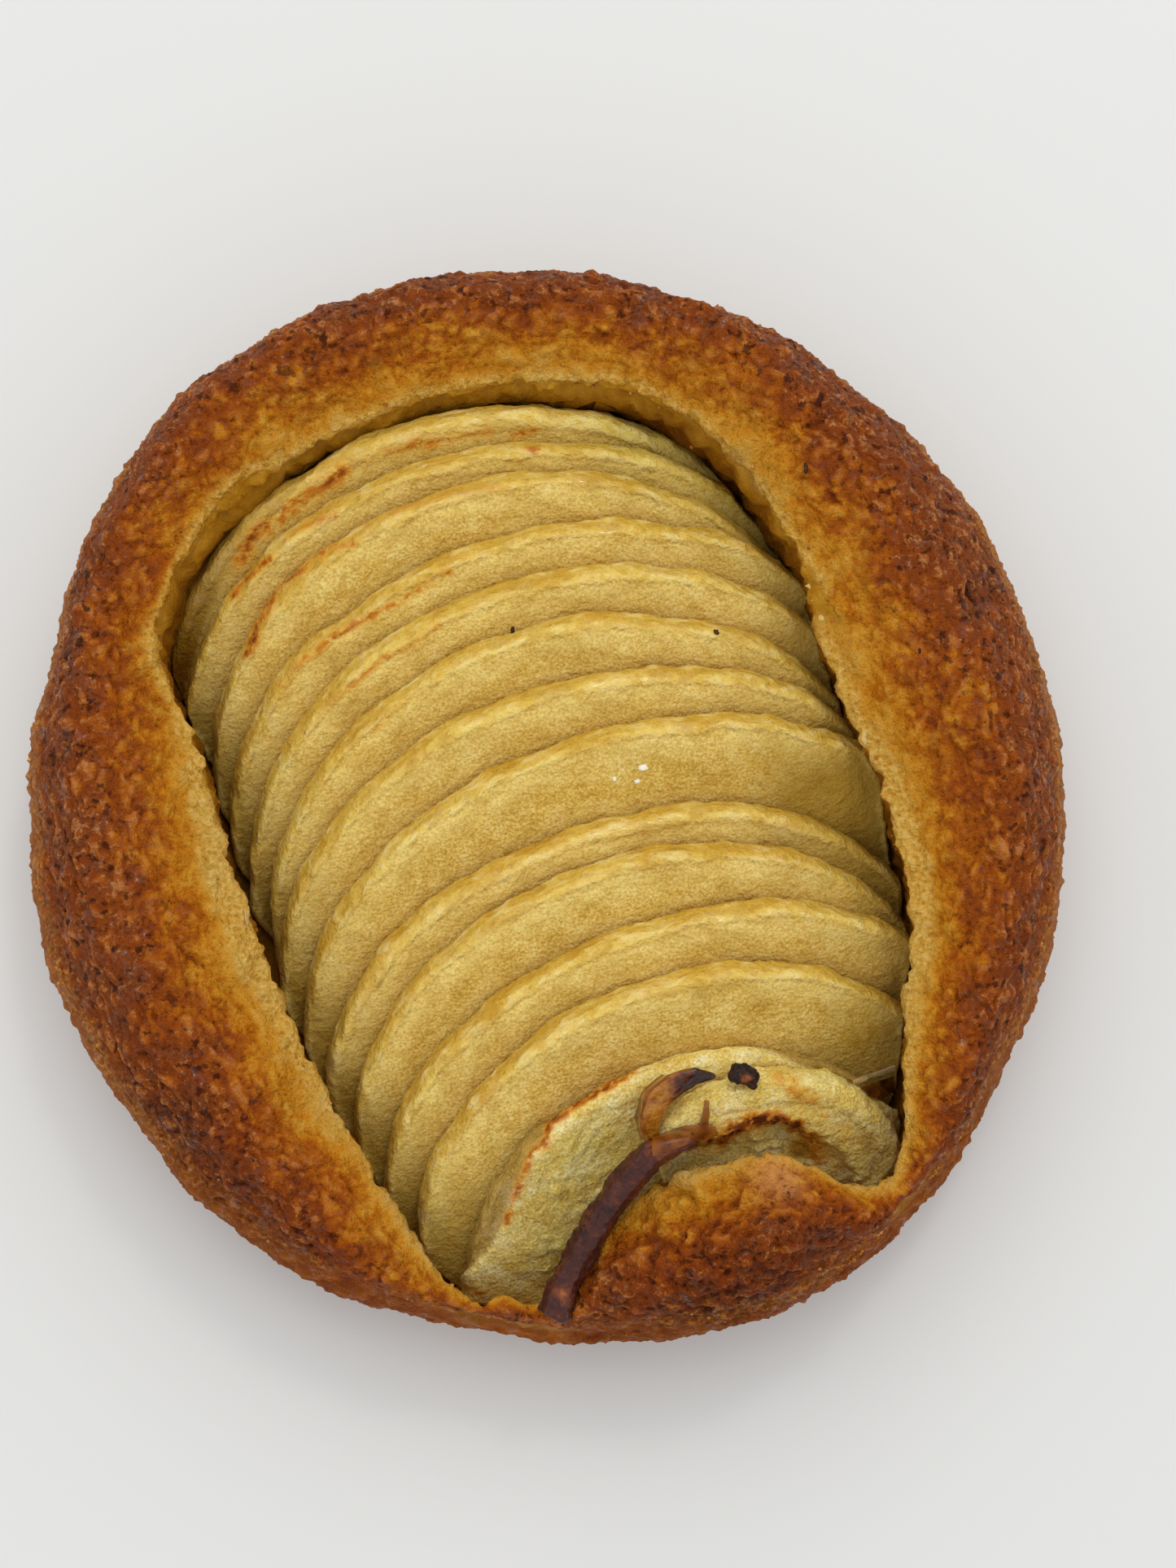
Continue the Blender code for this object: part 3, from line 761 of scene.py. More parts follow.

# %% [markdown]
# ## The crust's finish
# Baked pastry has no single brown. Sugar browns in specks, so noise of four sizes stirs the baking
# number before a colour ramp reads it. Creases and pores are painted darker, as shade, and the tops
# of the grains lighter, as a painted highlight. The high parts carry a thin, shiny film in patches,
# here a clear coat, which gives small glints. The outer edge carries a painted sheen.

# %% Crust finish
PASTRY_COLOURS = (
    (0.0, "#D2AE66"),
    (0.1, "#CC9E48"),
    (0.2, "#D09430"),
    (0.32, "#C6821A"),
    (0.45, "#B4660A"),
    (0.56, "#A25008"),
    (0.67, "#8A400A"),
    (0.76, "#803E14"),
    (0.86, "#80441E"),
    (1.0, "#4A1E0C"),
)
CREAM_COLOURS = ((0.35, "#BE8A2A"), (0.5, "#D6A846"), (0.65, "#E8C878"))
WALL_COLOURS = ((0.3, "#98640E"), (0.55, "#B07C1A"), (0.8, "#C49432"))
LEDGE_COLOURS = ((0.42, "#8A4A18"), (0.6, "#CC9040"))
SIDE_COLOURS = ((0.3, "#7A3A0E"), (0.7, "#B46A1E"))


def baked_pastry():
    """Dry, sandy shortcrust: matt and speckled, with a thin film of sugar in patches."""
    made = Finish("baked_shortcrust")
    dust, speckle = made.noise(0.28), made.noise(0.55, 3.0)
    blotch, cloud = made.noise(2.2, 3.0), made.noise(8.0)
    grit = made.plus(made.times(dust, 0.4), made.times(speckle, 0.6))
    # Creases raise the baking number a little, which darkens them: painted shade.
    stir = made.times("crease", 0.12)
    for part, strength in ((dust, 0.35), (speckle, 0.35), (blotch, 0.45), (cloud, 0.4)):
        stir = made.plus(stir, made.centred(part, strength))
    stir = made.times(stir, made.eased("bake", 0.0, 0.5, 0.3, 1.0))
    made.colour = made.ramp(made.plus("bake", stir), PASTRY_COLOURS)
    made.lay(made.ramp(speckle, CREAM_COLOURS), "cream", 0.6)
    made.lay("#DC9C5C", "pink", 0.7)
    # Painted highlight and shade: the tops of the grains are laid lighter and the creases darker.
    raised = made.centred(grit, 8.0)
    grain_top_highlight = made.eased(made.less(raised, "crease"), 0.1, 1.6, 0.0, 0.65)
    made.lay("#D08C52", grain_top_highlight, made.eased("bake", 0.3, 0.7))
    crease_shade = made.eased(made.less("crease", raised), 0.4, 1.7, 0.0, 0.8)
    made.lay("#481A0A", crease_shade, made.eased("bake", 0.1, 0.6, 0.3, 1.0))
    ember = made.eased(made.noise(1.9, 4.0), 0.46, 0.6, 0.0, 0.45)
    made.lay("#863A0C", ember, made.eased("bake", 0.25, 0.5))
    # Painted shade: near-black specks stand for the shade inside pores.
    pore_shade = made.eased(made.noise(1.2, 5.0), 0.57, 0.66, 0.0, 0.85)
    made.lay("#3C1606", pore_shade, made.eased("bake", 0.35, 0.7))
    # The wall, with painted shade deeper down and in its hollows.
    wall = made.over(made.ramp(blotch, WALL_COLOURS), "#7E4A08", "depth", 0.8)
    wall = made.over(wall, "#6E3C06", made.eased("hollow", 0.1, 0.8, 0.0, 0.85))
    made.lay(wall, "inner")
    made.lay(made.ramp(speckle, LEDGE_COLOURS), "ledge", 0.55)
    made.lay(made.ramp(blotch, SIDE_COLOURS), "side", 0.7)
    # Painted sheen along the outer edge.
    made.lay("#B87A4A", "outer_edge_sheen", 0.4)
    made.lay("#F0DC9C", "ruddy", blend="MULTIPLY")
    relief = made.times(grit, made.eased("inner", 0.0, 1.0, 1.0, 0.35))
    glints = made.eased(made.noise(0.8), 0.5, 0.6)
    film = made.times(glints, made.eased(blotch, 0.45, 0.6), made.eased("bake", 0.3, 0.8), 0.4)
    return made.done({
        "Normal": made.bump(relief, 1.1, 0.9),
        "Roughness": made.eased(speckle, 0.3, 0.7, 0.45, 0.65),
        "Specular IOR Level": 0.1,
        "IOR": 1.45,
        "Coat Weight": film,
        "Coat Roughness": 0.12,
        "Subsurface Weight": 0.1,
        "Subsurface Radius": (1.0, 0.4, 0.12),
        "Subsurface Scale": 1.0 * MM,
    })


pastry = baked_pastry()
show("crust", crust, pastry, stands_for=("case",), slot="pastry")

# %% [markdown]
# ## The slices' shape
# Each slice leans on the one behind it. What shows is its rim, the outside of the peeled apple, and
# a strip of its cut face. A slice is thin, so its face looks the way in which its points spread
# least. From that come two numbers for every point: how far it lies from the rim's front edge, and
# how deep it is tucked behind the next slice. The rim buckles as it dries, in long creases.

# %% Slice shapes
SLICE_VOXEL = 0.45
SLICE_SMOOTHING = 9
RIM_FACING = 0.6  # a point that looks the face's way by less than this lies on the rim
EDGE_REACH = 8.0  # millimetres up to which the way from the rim is measured
RIM_REACH = 2.0  # how far onto the face the rim's relief goes on
TUCK_REACH = 4.0  # how far off the next slice is looked for, in millimetres
TUCKED = (0.4, 0.9)  # how near it a point is wholly tucked, and how fast that fades
BUCKLES = (8.0, 0.4)  # size and height in millimetres
CREASES = ((2.4, 0.19), (1.1, 0.16))
CREASE_STRETCH = 5.0  # how much longer a crease is along the rim than across it
SLICE_RADIUS = 30.0
FACE_WAVES = (8.0, 0.22)
PITS = (0.95, 0.11)
CRUMPLES = (2.0, 0.5)
SINKING = 0.05  # the skin sinks by this much, so that its buckles stay within the solid
CRUMPLED = {"apple_slice_13": 1.2, "apple_slice_14": 1.5}  # how much rougher the front ones are
CRUMPLED_SPOTS = {  # where they are rougher still: pixel and radius in millimetres
    "apple_slice_13": (((705, 1470), 3.5), ((672, 1540), 3.0)),
    "apple_slice_14": (((940, 1412), 4.0),),
}
LEFT_HOLLOW = ((262, 980), (229, 876), (236, 832), (246, 800), (258, 764), (276, 722), (292, 700))
RIGHT_HOLLOW = (
    ((780, 509), (822, 524), (856, 549), (889, 591), (902, 616), (923, 642))
    + ((948, 675), (973, 709), (990, 730), (1011, 759), (1030, 840))
)
# Besides sinking there, the slices are painted darker in these hollows, as shade.
HOLLOWS = (  # slices, a line of pixels with a hollow on its left, and how deep that is further down
    ((1, 2, 3), LEFT_HOLLOW, ((700, 0.25), (780, 0.45), (840, 1.0), (980, 1.0))),
    ((1, 2, 3, 4, 5), RIGHT_HOLLOW, ((500, 1.0), (590, 0.9), (640, 0.5), (800, 0.5))),
)
FRONT_SLICE_EDGE = (
    ((551, 1576), (582, 1558), (607, 1533), (622, 1502), (632, 1471), (644, 1440), (653, 1418))
    + ((669, 1406), (675, 1381), (697, 1362), (737, 1341), (780, 1313), (830, 1294), (892, 1286))
    + ((923, 1286), (954, 1297), (991, 1316), (1047, 1341), (1097, 1359))
)
ARCH = (
    ((840, 1405), (886, 1400), (898, 1387), (923, 1378))
    + ((954, 1375), (979, 1384), (997, 1400), (1004, 1421))
)
SUNK = {"hollow": 0.9, "behind": 0.7, "arch": 0.6}  # how deep the skin sinks there, in millimetres


def face_direction(points):
    """The way a slice's face looks: across its thickness, upwards."""
    _, _, axes = np.linalg.svd(points - points.mean(axis=0), full_matrices=False)
    return axes[2] * math.copysign(1.0, axes[2][2])


def neighbours(mesh):
    """The two ends of every edge of the mesh."""
    ends = np.empty(len(mesh.edges) * 2, np.int32)
    mesh.edges.foreach_get("vertices", ends)
    return ends[::2], ends[1::2]


def spread(mesh, values, rounds):
    """Soften a number over the mesh, by averaging each point with its neighbours."""
    first, second = neighbours(mesh)
    count = np.bincount(first, minlength=len(values)) + np.bincount(second, minlength=len(values))
    for _ in range(rounds):
        total = np.bincount(first, values[second], len(values))
        total += np.bincount(second, values[first], len(values))
        values = 0.5 * values + 0.5 * total / count
    return values


def way_from(mesh, points, starts, reach):
    """How far each point is from the starting ones along the surface, up to a reach."""
    first, second = neighbours(mesh)
    length = np.linalg.norm(points[first] - points[second], axis=1)
    way = np.where(starts, 0.0, reach)
    for _ in range(int(reach / SLICE_VOXEL) + 2):
        np.minimum.at(way, first, way[second] + length)
        np.minimum.at(way, second, way[first] + length)
    return way


def along_rim(points, facing):
    """The points by turn round the slice, distance from its middle and depth, with long creases."""
    upright = np.array((0.0, 0.0, 1.0)) - facing * facing[2]
    upright /= np.linalg.norm(upright)
    axes = (np.cross(facing, upright), upright, facing)
    across, up, depth = ((points - points.mean(axis=0)) @ axis for axis in axes)
    turn = np.arctan2(across, up)
    return np.stack((turn * SLICE_RADIUS / CREASE_STRETCH, np.hypot(across, up), depth), axis=1)


def sunken(number, points):
    """Where a slice sinks: beside the lip, behind the front slice and under the arch."""
    right, down = pixels_of(points).T
    hollow = np.zeros(len(points))
    for which, line, levels in HOLLOWS:
        if number in which:
            level = np.interp(down, *zip(*levels))
            hollow = np.maximum(hollow, step_up(left_of(points, line), -0.2, 1.0) * level)
    behind = step_up(left_of(points, FRONT_SLICE_EDGE), -0.1, 0.5) * (number == 13)
    arch = step_up(-left_of(points, ARCH), 0.1, 0.9) * (down > 1370) * (number == 14)
    return {"hollow": hollow, "behind": behind, "arch": arch * (1 - step_up(right, 985.0, 1010.0))}


def tucked_behind(points, facing, in_front):
    """How close each point of a slice's face lies to the slice in front of it."""
    tucked = np.zeros(len(points))
    if in_front is None:
        return tucked
    next_tree = search_tree(in_front)
    for number in np.nonzero(facing > 0.3)[0]:
        gap = next_tree.find_nearest(Vector(points[number]) * MM, TUCK_REACH * MM)[3]
        if gap is not None:
            tucked[number] = math.exp(-max(gap / MM - TUCKED[0], 0.0) / TUCKED[1])
    return tucked


def slice_skin(name, seed, in_front):
    mesh = fine_skin(name, SLICE_VOXEL, SLICE_SMOOTHING)
    points = places(mesh)
    normals = normals_of(mesh)
    front = face_direction(points)
    facing = normals @ front
    depth = points @ front
    on_rim = np.abs(facing) < RIM_FACING
    from_edge = way_from(mesh, points, on_rim, EDGE_REACH)
    gap = np.where(facing > RIM_FACING, from_edge, depth - np.percentile(depth[on_rim], 97))
    gap = np.where(facing < -RIM_FACING, -EDGE_REACH, gap)
    usual = CRUMPLED.get(name, 1.0)
    rough = usual + sum(patch(points, *spot) for spot in CRUMPLED_SPOTS.get(name, ()))
    long_places = along_rim(points, front)
    near_rim = bell(from_edge / RIM_REACH)
    relief = hills(points, BUCKLES[0], 2, seed) * BUCKLES[1] * near_rim
    for size, height in CREASES:
        creases = hills(long_places, size, 2, seed + 3.0) * height
        relief += creases * (0.25 + 0.75 * near_rim) * rough
    relief += hills(points, FACE_WAVES[0], 2, seed + 5.0) * FACE_WAVES[1] * (1 - near_rim)
    relief += hills(points, PITS[0], 2, seed + 7.0) * PITS[1] * rough * (0.4 + 0.6 * near_rim)
    relief += knobs(points, CRUMPLES[0], 2, seed + 9.0) * CRUMPLES[1] * (rough - usual)
    for sunk, amount in sunken(int(name[-2:]), points).items():
        relief -= SUNK[sunk] * amount
    put_places(mesh, points + normals * (relief - SINKING)[:, None])
    keep_places(mesh, "rim_places", long_places)
    keep(mesh, "edge_gap", spread(mesh, gap, 2))
    keep(mesh, "tucked", tucked_behind(points, facing, in_front))
    return mesh


slices = {}
for number, (name, in_front) in enumerate(zip(SLICE_NAMES, SLICE_NAMES[1:] + [None])):
    slices[name] = slice_skin(name, 7.0 * number, in_front)
print(len(slices), "slices with", sum(triangles(mesh) for mesh in slices.values()), "triangles")

# %% [markdown]
# ## Toasted, wet, shaded and green places on the slices
# Heat caught the edges of the first rims at the left, and its lines are drawn through pixels. The
# rim's yellow band ends a little beyond its front edge. Lower down, under the lip of the case, the
# flesh turns olive and amber: partly it is soaked, partly this is painted shade. Painted shade also
# lies on each rim behind its front edge, in the hollows beside the lip, in a pit under the arch and
# on the flesh beyond the front slice's edge. Some green stayed at the right of the first slices and
# near the stem.

# %% Marks on the slices
BAND_WIDTH = {1: 1.7, 2: 0.7, 9: 0.9, 10: 0.5, 13: 9.0, 14: 2.5}  # mm beyond the front edge
USUAL_BAND = 0.6
CREST = (1.7, 1.8)  # where a slice is palest beyond its front edge, and how wide that is, in mm
TOASTED_LINES = (  # slice, strength, width in millimetres, and the pixels that it runs through
    (1, 1.0, 0.75, ((297, 686), (309, 662), (336, 644), (360, 620), (390, 602), (423, 578))),
    (1, 0.65, 0.6,
     ((423, 578), (444, 563), (468, 554), (500, 548), (540, 542), (564, 536), (600, 533))),
    (1, 1.4, 0.3, ((632, 533), (655, 531))),
    (2, 0.9, 0.35, ((288, 734), (300, 715), (330, 686))),
    (2, 0.6, 0.4, ((354, 659), (380, 645), (411, 632))),
    (2, 1.4, 0.4, ((652, 555), (660, 554))),
    (3, 1.1, 0.4,
     ((303, 806), (318, 770), (330, 740), (345, 716), (372, 698), (408, 677), (432, 668))),
    (3, 0.4, 0.5, ((444, 645), (500, 625), (560, 602), (625, 600))),
    (4, 0.7, 0.45, ((342, 848), (372, 812), (420, 776), (504, 731), (552, 704))),
    (5, 0.5, 0.4, ((405, 865), (470, 810), (540, 770))),
    (6, 0.4, 0.4, ((430, 940), (480, 875), (520, 850))),
    (8, 0.3, 0.4, ((355, 1030), (362, 1005))),
    (10, 0.6, 0.4, ((440, 1230), (500, 1160), (560, 1120), (640, 1085))),
    (11, 0.35, 0.4, ((470, 1330), (520, 1260), (600, 1190))),
    (13, 1.1, 0.35, FRONT_SLICE_EDGE[3:12]),
    (13, 0.6, 0.4, ((551, 1580), (600, 1592), (650, 1600))),
    (14, 1.7, 0.5, ARCH[:6]),
    (14, 0.9, 0.6, ARCH[5:]),
    (14, 0.5, 1.3, ARCH[1:]),
    (14, 0.45, 1.2, ((930, 1325), (965, 1330), (1000, 1355), (1030, 1385))),
)
FAINT_TOAST = 0.16  # how far any rim's front edge is toasted, in places
# The front slices get little of the soaked colour and painted shade under the lip.
FRONT_SLICES = (13, 14)  # these stayed pale, and dry under the lip
# Spots that are partly soaked and partly painted shade.
SOAKED_AND_SHADED_SPOTS = (  # strength, radius in millimetres and pixel
    (0.9, 6.5, (1060, 1010)),
    (0.6, 6.0, (980, 980)),
    (0.5, 4.0, (1050, 1270)),
    (0.6, 4.0, (1040, 870)),
    (0.8, 2.6, (1072, 1402)),
)
GREEN_SPOTS = (
    (0.9, 3.0, (688, 1540)),
    (0.5, 3.5, (722, 1425)),
    (0.7, 7.0, (800, 540)),
    (0.5, 6.0, (900, 640)),
    (0.4, 6.0, (1000, 1330)),
)
# Painted shade: a pit under the arch is only painted dark.
SHADED_PIT = ((986, 1414), 1.3)  # pixel and radius in millimetres of a dark pit under the arch


def spots(points, listed):
    return sum(strength * patch(points, pixel, radius) for strength, radius, pixel in listed)


def toasted(number, points, gap, band_end, patchy):
    """How far each point of a slice is toasted, by its listed lines and faintly along its band."""
    stretches = step_up(hills(points, 9.0, 2, 45.0), 0.0, 0.5)
    toast = FAINT_TOAST * stretches * bell((gap - band_end) / 0.4)
    wander = hills(points, 2.2, 2, 47.0) * 0.3
    for which, strength, width, pixels in TOASTED_LINES:
        if which == number:
            away = np.abs(left_of(points, pixels) + wander)
            line = 0.7 * bell(away / width) + 0.3 * bell(away / (3 * width))
            toast = np.maximum(toast, strength * line * (0.4 + 0.6 * patchy))
    return np.clip(toast, 0.0, 1.5)


def add_marks(name, mesh):
    number = int(name[-2:])
    points = places(mesh)
    gap = np.empty(len(points), np.float32)
    mesh.attributes["edge_gap"].data.foreach_get("value", gap)
    band_end = BAND_WIDTH.get(number, USUAL_BAND) + hills(points, 4.0, 2, 41.0) * 0.35
    keep(mesh, "band", 1 - step_up(gap, band_end - 0.3, band_end + 0.8))
    patchy = step_up(hills(points, 3.5, 3, 43.0), -0.7, 0.3)
    crest = bell((gap - CREST[0] - hills(points, 5.0, 2, 49.0) * 0.6) / CREST[1])
    keep(mesh, "crest", crest * (0.4 + 0.6 * patchy))
    # Painted shade on the rim behind its front edge.
    keep(mesh, "shade", 1 - step_up(gap, -1.4, 0.5))
    keep(mesh, "toast", toasted(number, points, gap, band_end, patchy))
    keep(mesh, "green", np.clip(spots(points, GREEN_SPOTS), 0.0, 1.0))
    _, from_lip, _ = ring_place(points)
    # Partly soaked flesh, partly painted shade: darker lower down, near and under the lip, and at
    # listed spots.
    soaked_and_shaded = 0.4 * step_up(-points[:, 2], -17.0, -11.0) + 0.35 * step_up(from_lip, -5.0, 0.0)
    soaked_and_shaded += 0.25 * step_up(from_lip, -15.0, -4.0)
    soaked_and_shaded *= 0.15 if number in FRONT_SLICES else 1.0
    keep(mesh, "soaked_and_shaded", np.clip(soaked_and_shaded + spots(points, SOAKED_AND_SHADED_SPOTS), 0.0, 1.0))
    places_sunk = sunken(number, points)
    # Painted shade: the hollows beside the lip and the pit under the arch are painted darker.
    keep(mesh, "hollow", np.clip(places_sunk["hollow"] + 0.9 * patch(points, *SHADED_PIT), 0.0, 1.0))
    # Beyond the front slice's edge its flesh is painted in the face colour of the slice behind,
    # darkened as painted shade.
    keep(mesh, "shaded_flesh", places_sunk["behind"])
    keep(mesh, "pale", np.maximum(0.95 * (number in FRONT_SLICES), 0.8 * places_sunk["arch"]))


for name, mesh in slices.items():
    add_marks(name, mesh)
print("marks on", len(slices), "slices")

# %% [markdown]
# ## The apple's finish
# Baked apple flesh is full of water: light enters it and comes out near by, which subsurface
# scattering gives. The cut face is matt and faintly grainy with its cells, the rim is yellower and
# wetter, and a thin film of juice lies in patches along its front edge. Streaks follow the rim, as
# their noise reads the places that the slice's creases were made with.

# %% Apple finish
FACE_COLOURS = ((0.36, "#D0A646"), (0.5, "#E8C25E"), (0.64, "#F8E08C"))
RIM_COLOURS = ((0.36, "#D09C2C"), (0.46, "#DEB240"), (0.55, "#EAC858"), (0.66, "#F6DE92"))
CELL_COLOURS = ((0.36, "#DCC88E"), (0.6, "#FFFFFF"))
SOAKED_AND_SHADED_COLOURS = ((0.3, "#947018"), (0.7, "#BA9430"))
TOAST_COLOURS = (
    ((0.0, "#E0B04A"), (0.2, "#DEA034"), (0.42, "#CE8424"), (0.64, "#A05818"), (0.9, "#5E280C"))
)
TOAST_RANGE = 0.67  # brings the toasting, which goes up to 1.5, into the colour ramp's range
SHADED_FLESH_COLOURS = ((0.34, "#9A7A30"), (0.5, "#B29044"), (0.66, "#C6A65C"))
PALE_COLOURS = ((0.36, "#DAB450"), (0.5, "#F0D67A"), (0.64, "#FEF2BA"))
HOLLOW_SHADE_COLOURS = ((0.25, "#BE9840"), (0.5, "#A87C22"), (0.9, "#8A5608"))


def baked_apple():
    """Soft, wet flesh: light goes in and comes out yellow, and juice shines on the rims."""
    made = Finish("baked_apple_flesh")
    cells, fleck = made.noise(0.3, 3.0), made.noise(0.9, 3.0)
    blotch, cloud = made.noise(3.0, 3.0), made.noise(9.0)
    streak = made.noise(1.3, 4.0, made.stored("rim_places", "Vector"))
    mottled = made.plus(made.times(cells, 0.55), made.times(blotch, 0.45))
    stir = made.plus(made.times(fleck, 0.5), made.times(cloud, 0.5))
    made.colour = made.over(made.ramp(mottled, FACE_COLOURS), made.ramp(stir, RIM_COLOURS), "band")
    made.lay("#FCE48A", "crest", 0.6)
    # Painted shade: the rim is laid darker behind its front edge.
    made.lay("#C89E38", "shade", 0.45)
    streaky = made.eased("band", 0.0, 1.0, 0.45, 1.0)
    made.lay("#BE922C", made.eased(streak, 0.5, 0.36, 0.0, 0.45), streaky)
    made.lay("#FAE69C", made.eased(streak, 0.52, 0.68, 0.0, 0.55), streaky)
    made.lay(made.ramp(mottled, PALE_COLOURS), "pale")
    made.lay("#C4BE4A", "green", 0.45)
    # Painted light: the face is lightened where it is tucked behind the next slice, for light that
    # passes through the flesh into the shaded gap.
    made.lay("#F4D478", made.eased("tucked", 0.1, 0.9, 0.0, 0.45))
    grain = made.ramp(cells, CELL_COLOURS)
    made.lay(grain, made.eased("band", 0.0, 1.0, 0.45, 0.25), blend="MULTIPLY")
    away_from_band = made.eased("band", 0.0, 1.0, 0.85, 0.25)
    # Soaked flesh and painted shade, weaker on the band.
    made.lay(made.ramp(cloud, SOAKED_AND_SHADED_COLOURS), "soaked_and_shaded", away_from_band)
    # Painted shade: darker flesh colour beyond the front slice's edge.
    made.lay(made.ramp(mottled, SHADED_FLESH_COLOURS), "shaded_flesh")
    # Painted shade in the hollows and the pit.
    made.lay(made.ramp("hollow", HOLLOW_SHADE_COLOURS), made.eased("hollow", 0.0, 0.4))
    browned = made.times("toast", made.eased(fleck, 0.3, 0.6, 0.35, 1.1))
    toast = made.ramp(made.times(browned, TOAST_RANGE), TOAST_COLOURS)
    made.lay(toast, made.eased(browned, 0.0, 0.6))
    ridges = made.bump(made.times(streak, made.eased("band", 0.0, 1.0, 0.25, 1.0)), 1.0, 0.8)
    return made.done({
        "Normal": made.bump(cells, 0.28, 0.8, Normal=made.bump(fleck, 0.55, 0.7, Normal=ridges)),
        "Roughness": made.eased("band", 0.0, 1.0, 0.6, 0.42),
        "IOR": 1.38,
        "Specular IOR Level": 0.25,
        "Coat Weight": made.times("band", made.eased(blotch, 0.45, 0.6), 0.7),
        "Coat Roughness": 0.08,
        "Subsurface Weight": 0.35,
        "Subsurface Radius": (1.0, 0.75, 0.3),
        "Subsurface Scale": 1.6 * MM,
    })


apple = baked_apple()
for name, mesh in slices.items():
    show(name.replace("apple_slice", "slice_skin"), mesh, apple, stands_for=(name,), slot="apple")

# %% [markdown]
# ## Stem, husk and blossom end
# Three small dark things lie on the front slices. The stem is a burnt twig with fine ridges, the
# husk a shiny scale of core skin that light shines through, and the last a charred crumb with two
# horns. One loop makes them all: their relief is noise, and each material runs from light to dark.

# %% Small skins
STEM_COLOURS = ((0.1, "#A05A24"), (0.35, "#703418"), (0.6, "#4A1E14"), (0.9, "#2A0E0A"))
HUSK_COLOURS = ((0.1, "#BE7E1E"), (0.4, "#98560E"), (0.7, "#5C280C"), (0.95, "#2A0E05"))
CHAR_COLOURS = ((0.2, "#8A4A1E"), (0.5, "#44200E"), (0.8, "#1E0E08"))


def burnt(name, colours, roughness, coat, glow=0.0):
    """Charred plant skin, dull or glossy: its own `char`, stirred with noise, picks the colour."""
    made = Finish(name)
    fine = made.noise(0.5, 3.0)
    coarse = made.noise(1.3, 4.0)
    char = made.plus("char", made.centred(coarse, 0.9), made.centred(fine, 0.5))
    made.colour = made.ramp(char, colours)
    return made.done({
        "Normal": made.bump(fine, 0.45, 0.9),
        "Roughness": roughness,
        "Specular IOR Level": 0.2,
        "Coat Weight": coat,
        "Coat Roughness": 0.12,
        "Subsurface Weight": glow,
        "Subsurface Radius": (1.0, 0.45, 0.1),
        "Subsurface Scale": 1.0 * MM,
    })


SMALL_PIECES = (  # solid, piece, slot, voxel, smoothing, sizes and heights of its relief, seed,
    # char, its changes as a strength, a radius and a pixel, and the finish
    ("stem", "burnt_stem", "stem", 0.2, 4, ((2.5, 0.34), (0.9, 0.2)), 2.0,
     0.65, ((-0.45, 2.2, (815, 1400)), (-0.45, 0.8, (690, 1590))),
     burnt("burnt_twig", STEM_COLOURS, 0.45, 0.3)),
    ("core_husk", "amber_husk", "core_skin", 0.14, 3, ((1.5, 0.08),), 4.0,
     0.2, ((0.8, 2.0, (868, 1322)), (0.64, 1.8, (843, 1336))),
     burnt("core_skin", HUSK_COLOURS, 0.25, 0.6, 0.4)),
    ("calyx", "charred_blossom", "calyx", 0.13, 1, ((1.3, 0.5), (0.5, 0.2)), 6.0,
     0.75, ((-0.6, 0.6, (918, 1326)),),
     burnt("charred_blossom", CHAR_COLOURS, 0.55, 0.15)),
)
for solid, name, slot, voxel, rounds, layers, seed, char, changes, finish in SMALL_PIECES:
    mesh = fine_skin(solid, voxel, rounds)
    points = places(mesh)
    relief = sum(height * hills(points, size, 2, seed) for size, height in layers)
    put_places(mesh, points + normals_of(mesh) * relief[:, None])
    keep(mesh, "char", np.clip(char + spots(places(mesh), changes), 0.0, 1.0))
    show(name, mesh, finish, (solid,), slot)

# %% [markdown]
# ## Skins of juice, and a film of painted shade
# Sugary juice dried to thin skins in a few places: round the stem's top and between the lip and
# the slices. A darker, nearly opaque film of the same kind lies in a hollow as painted shade. Each
# is a strip between two lines of points on the tart. It is lifted a little and given a thickness,
# which makes a thin closed sheet that rests on what carries it.

# %% Films
FILM_THICKNESS = 0.12
FILM_STEPS = 24
FILM_SHARES = np.linspace(0.0, 1.0, 7)  # places across a film
FILMS = (  # name, finish, lift, and the pixels of the two long edges
    ("stem_skin", "amber", 0.35,
     ((800, 1398), (840, 1382), (875, 1380)), ((800, 1424), (845, 1408), (885, 1394))),
    ("husk_strand", "amber", 0.3,
     ((788, 1402), (779, 1372), (790, 1338), (815, 1318)),
     ((799, 1405), (789, 1372), (798, 1343), (820, 1325))),
    ("arch_strand", "amber", 0.25,
     ((858, 1392), (862, 1370), (866, 1352)), ((870, 1390), (872, 1368), (871, 1352))),
    ("left_skin", "clear", 0.3,
     ((294, 1100), (299, 1118), (303, 1138)), ((304, 1096), (308, 1112), (309, 1136))),
    ("right_skin", "clear", 0.3,
     ((1046, 1328), (1075, 1317), (1100, 1308)), ((1048, 1334), (1077, 1323), (1101, 1314))),
    # This dark, nearly opaque film stands as painted shade in a hollow.
    ("right_hollow_shade", "dark", 0.1,
     ((1056, 1336), (1078, 1328), (1098, 1320)), ((1070, 1350), (1086, 1348), (1099, 1344))),
)


def along_line(pixels, share):
    """The pixel a share of the way along a line of pixels."""
    place = share * (len(pixels) - 1)
    start = min(int(place), len(pixels) - 2)
    first, second = np.array(pixels[start]), np.array(pixels[start + 1])
    return first + (second - first) * (place - start)


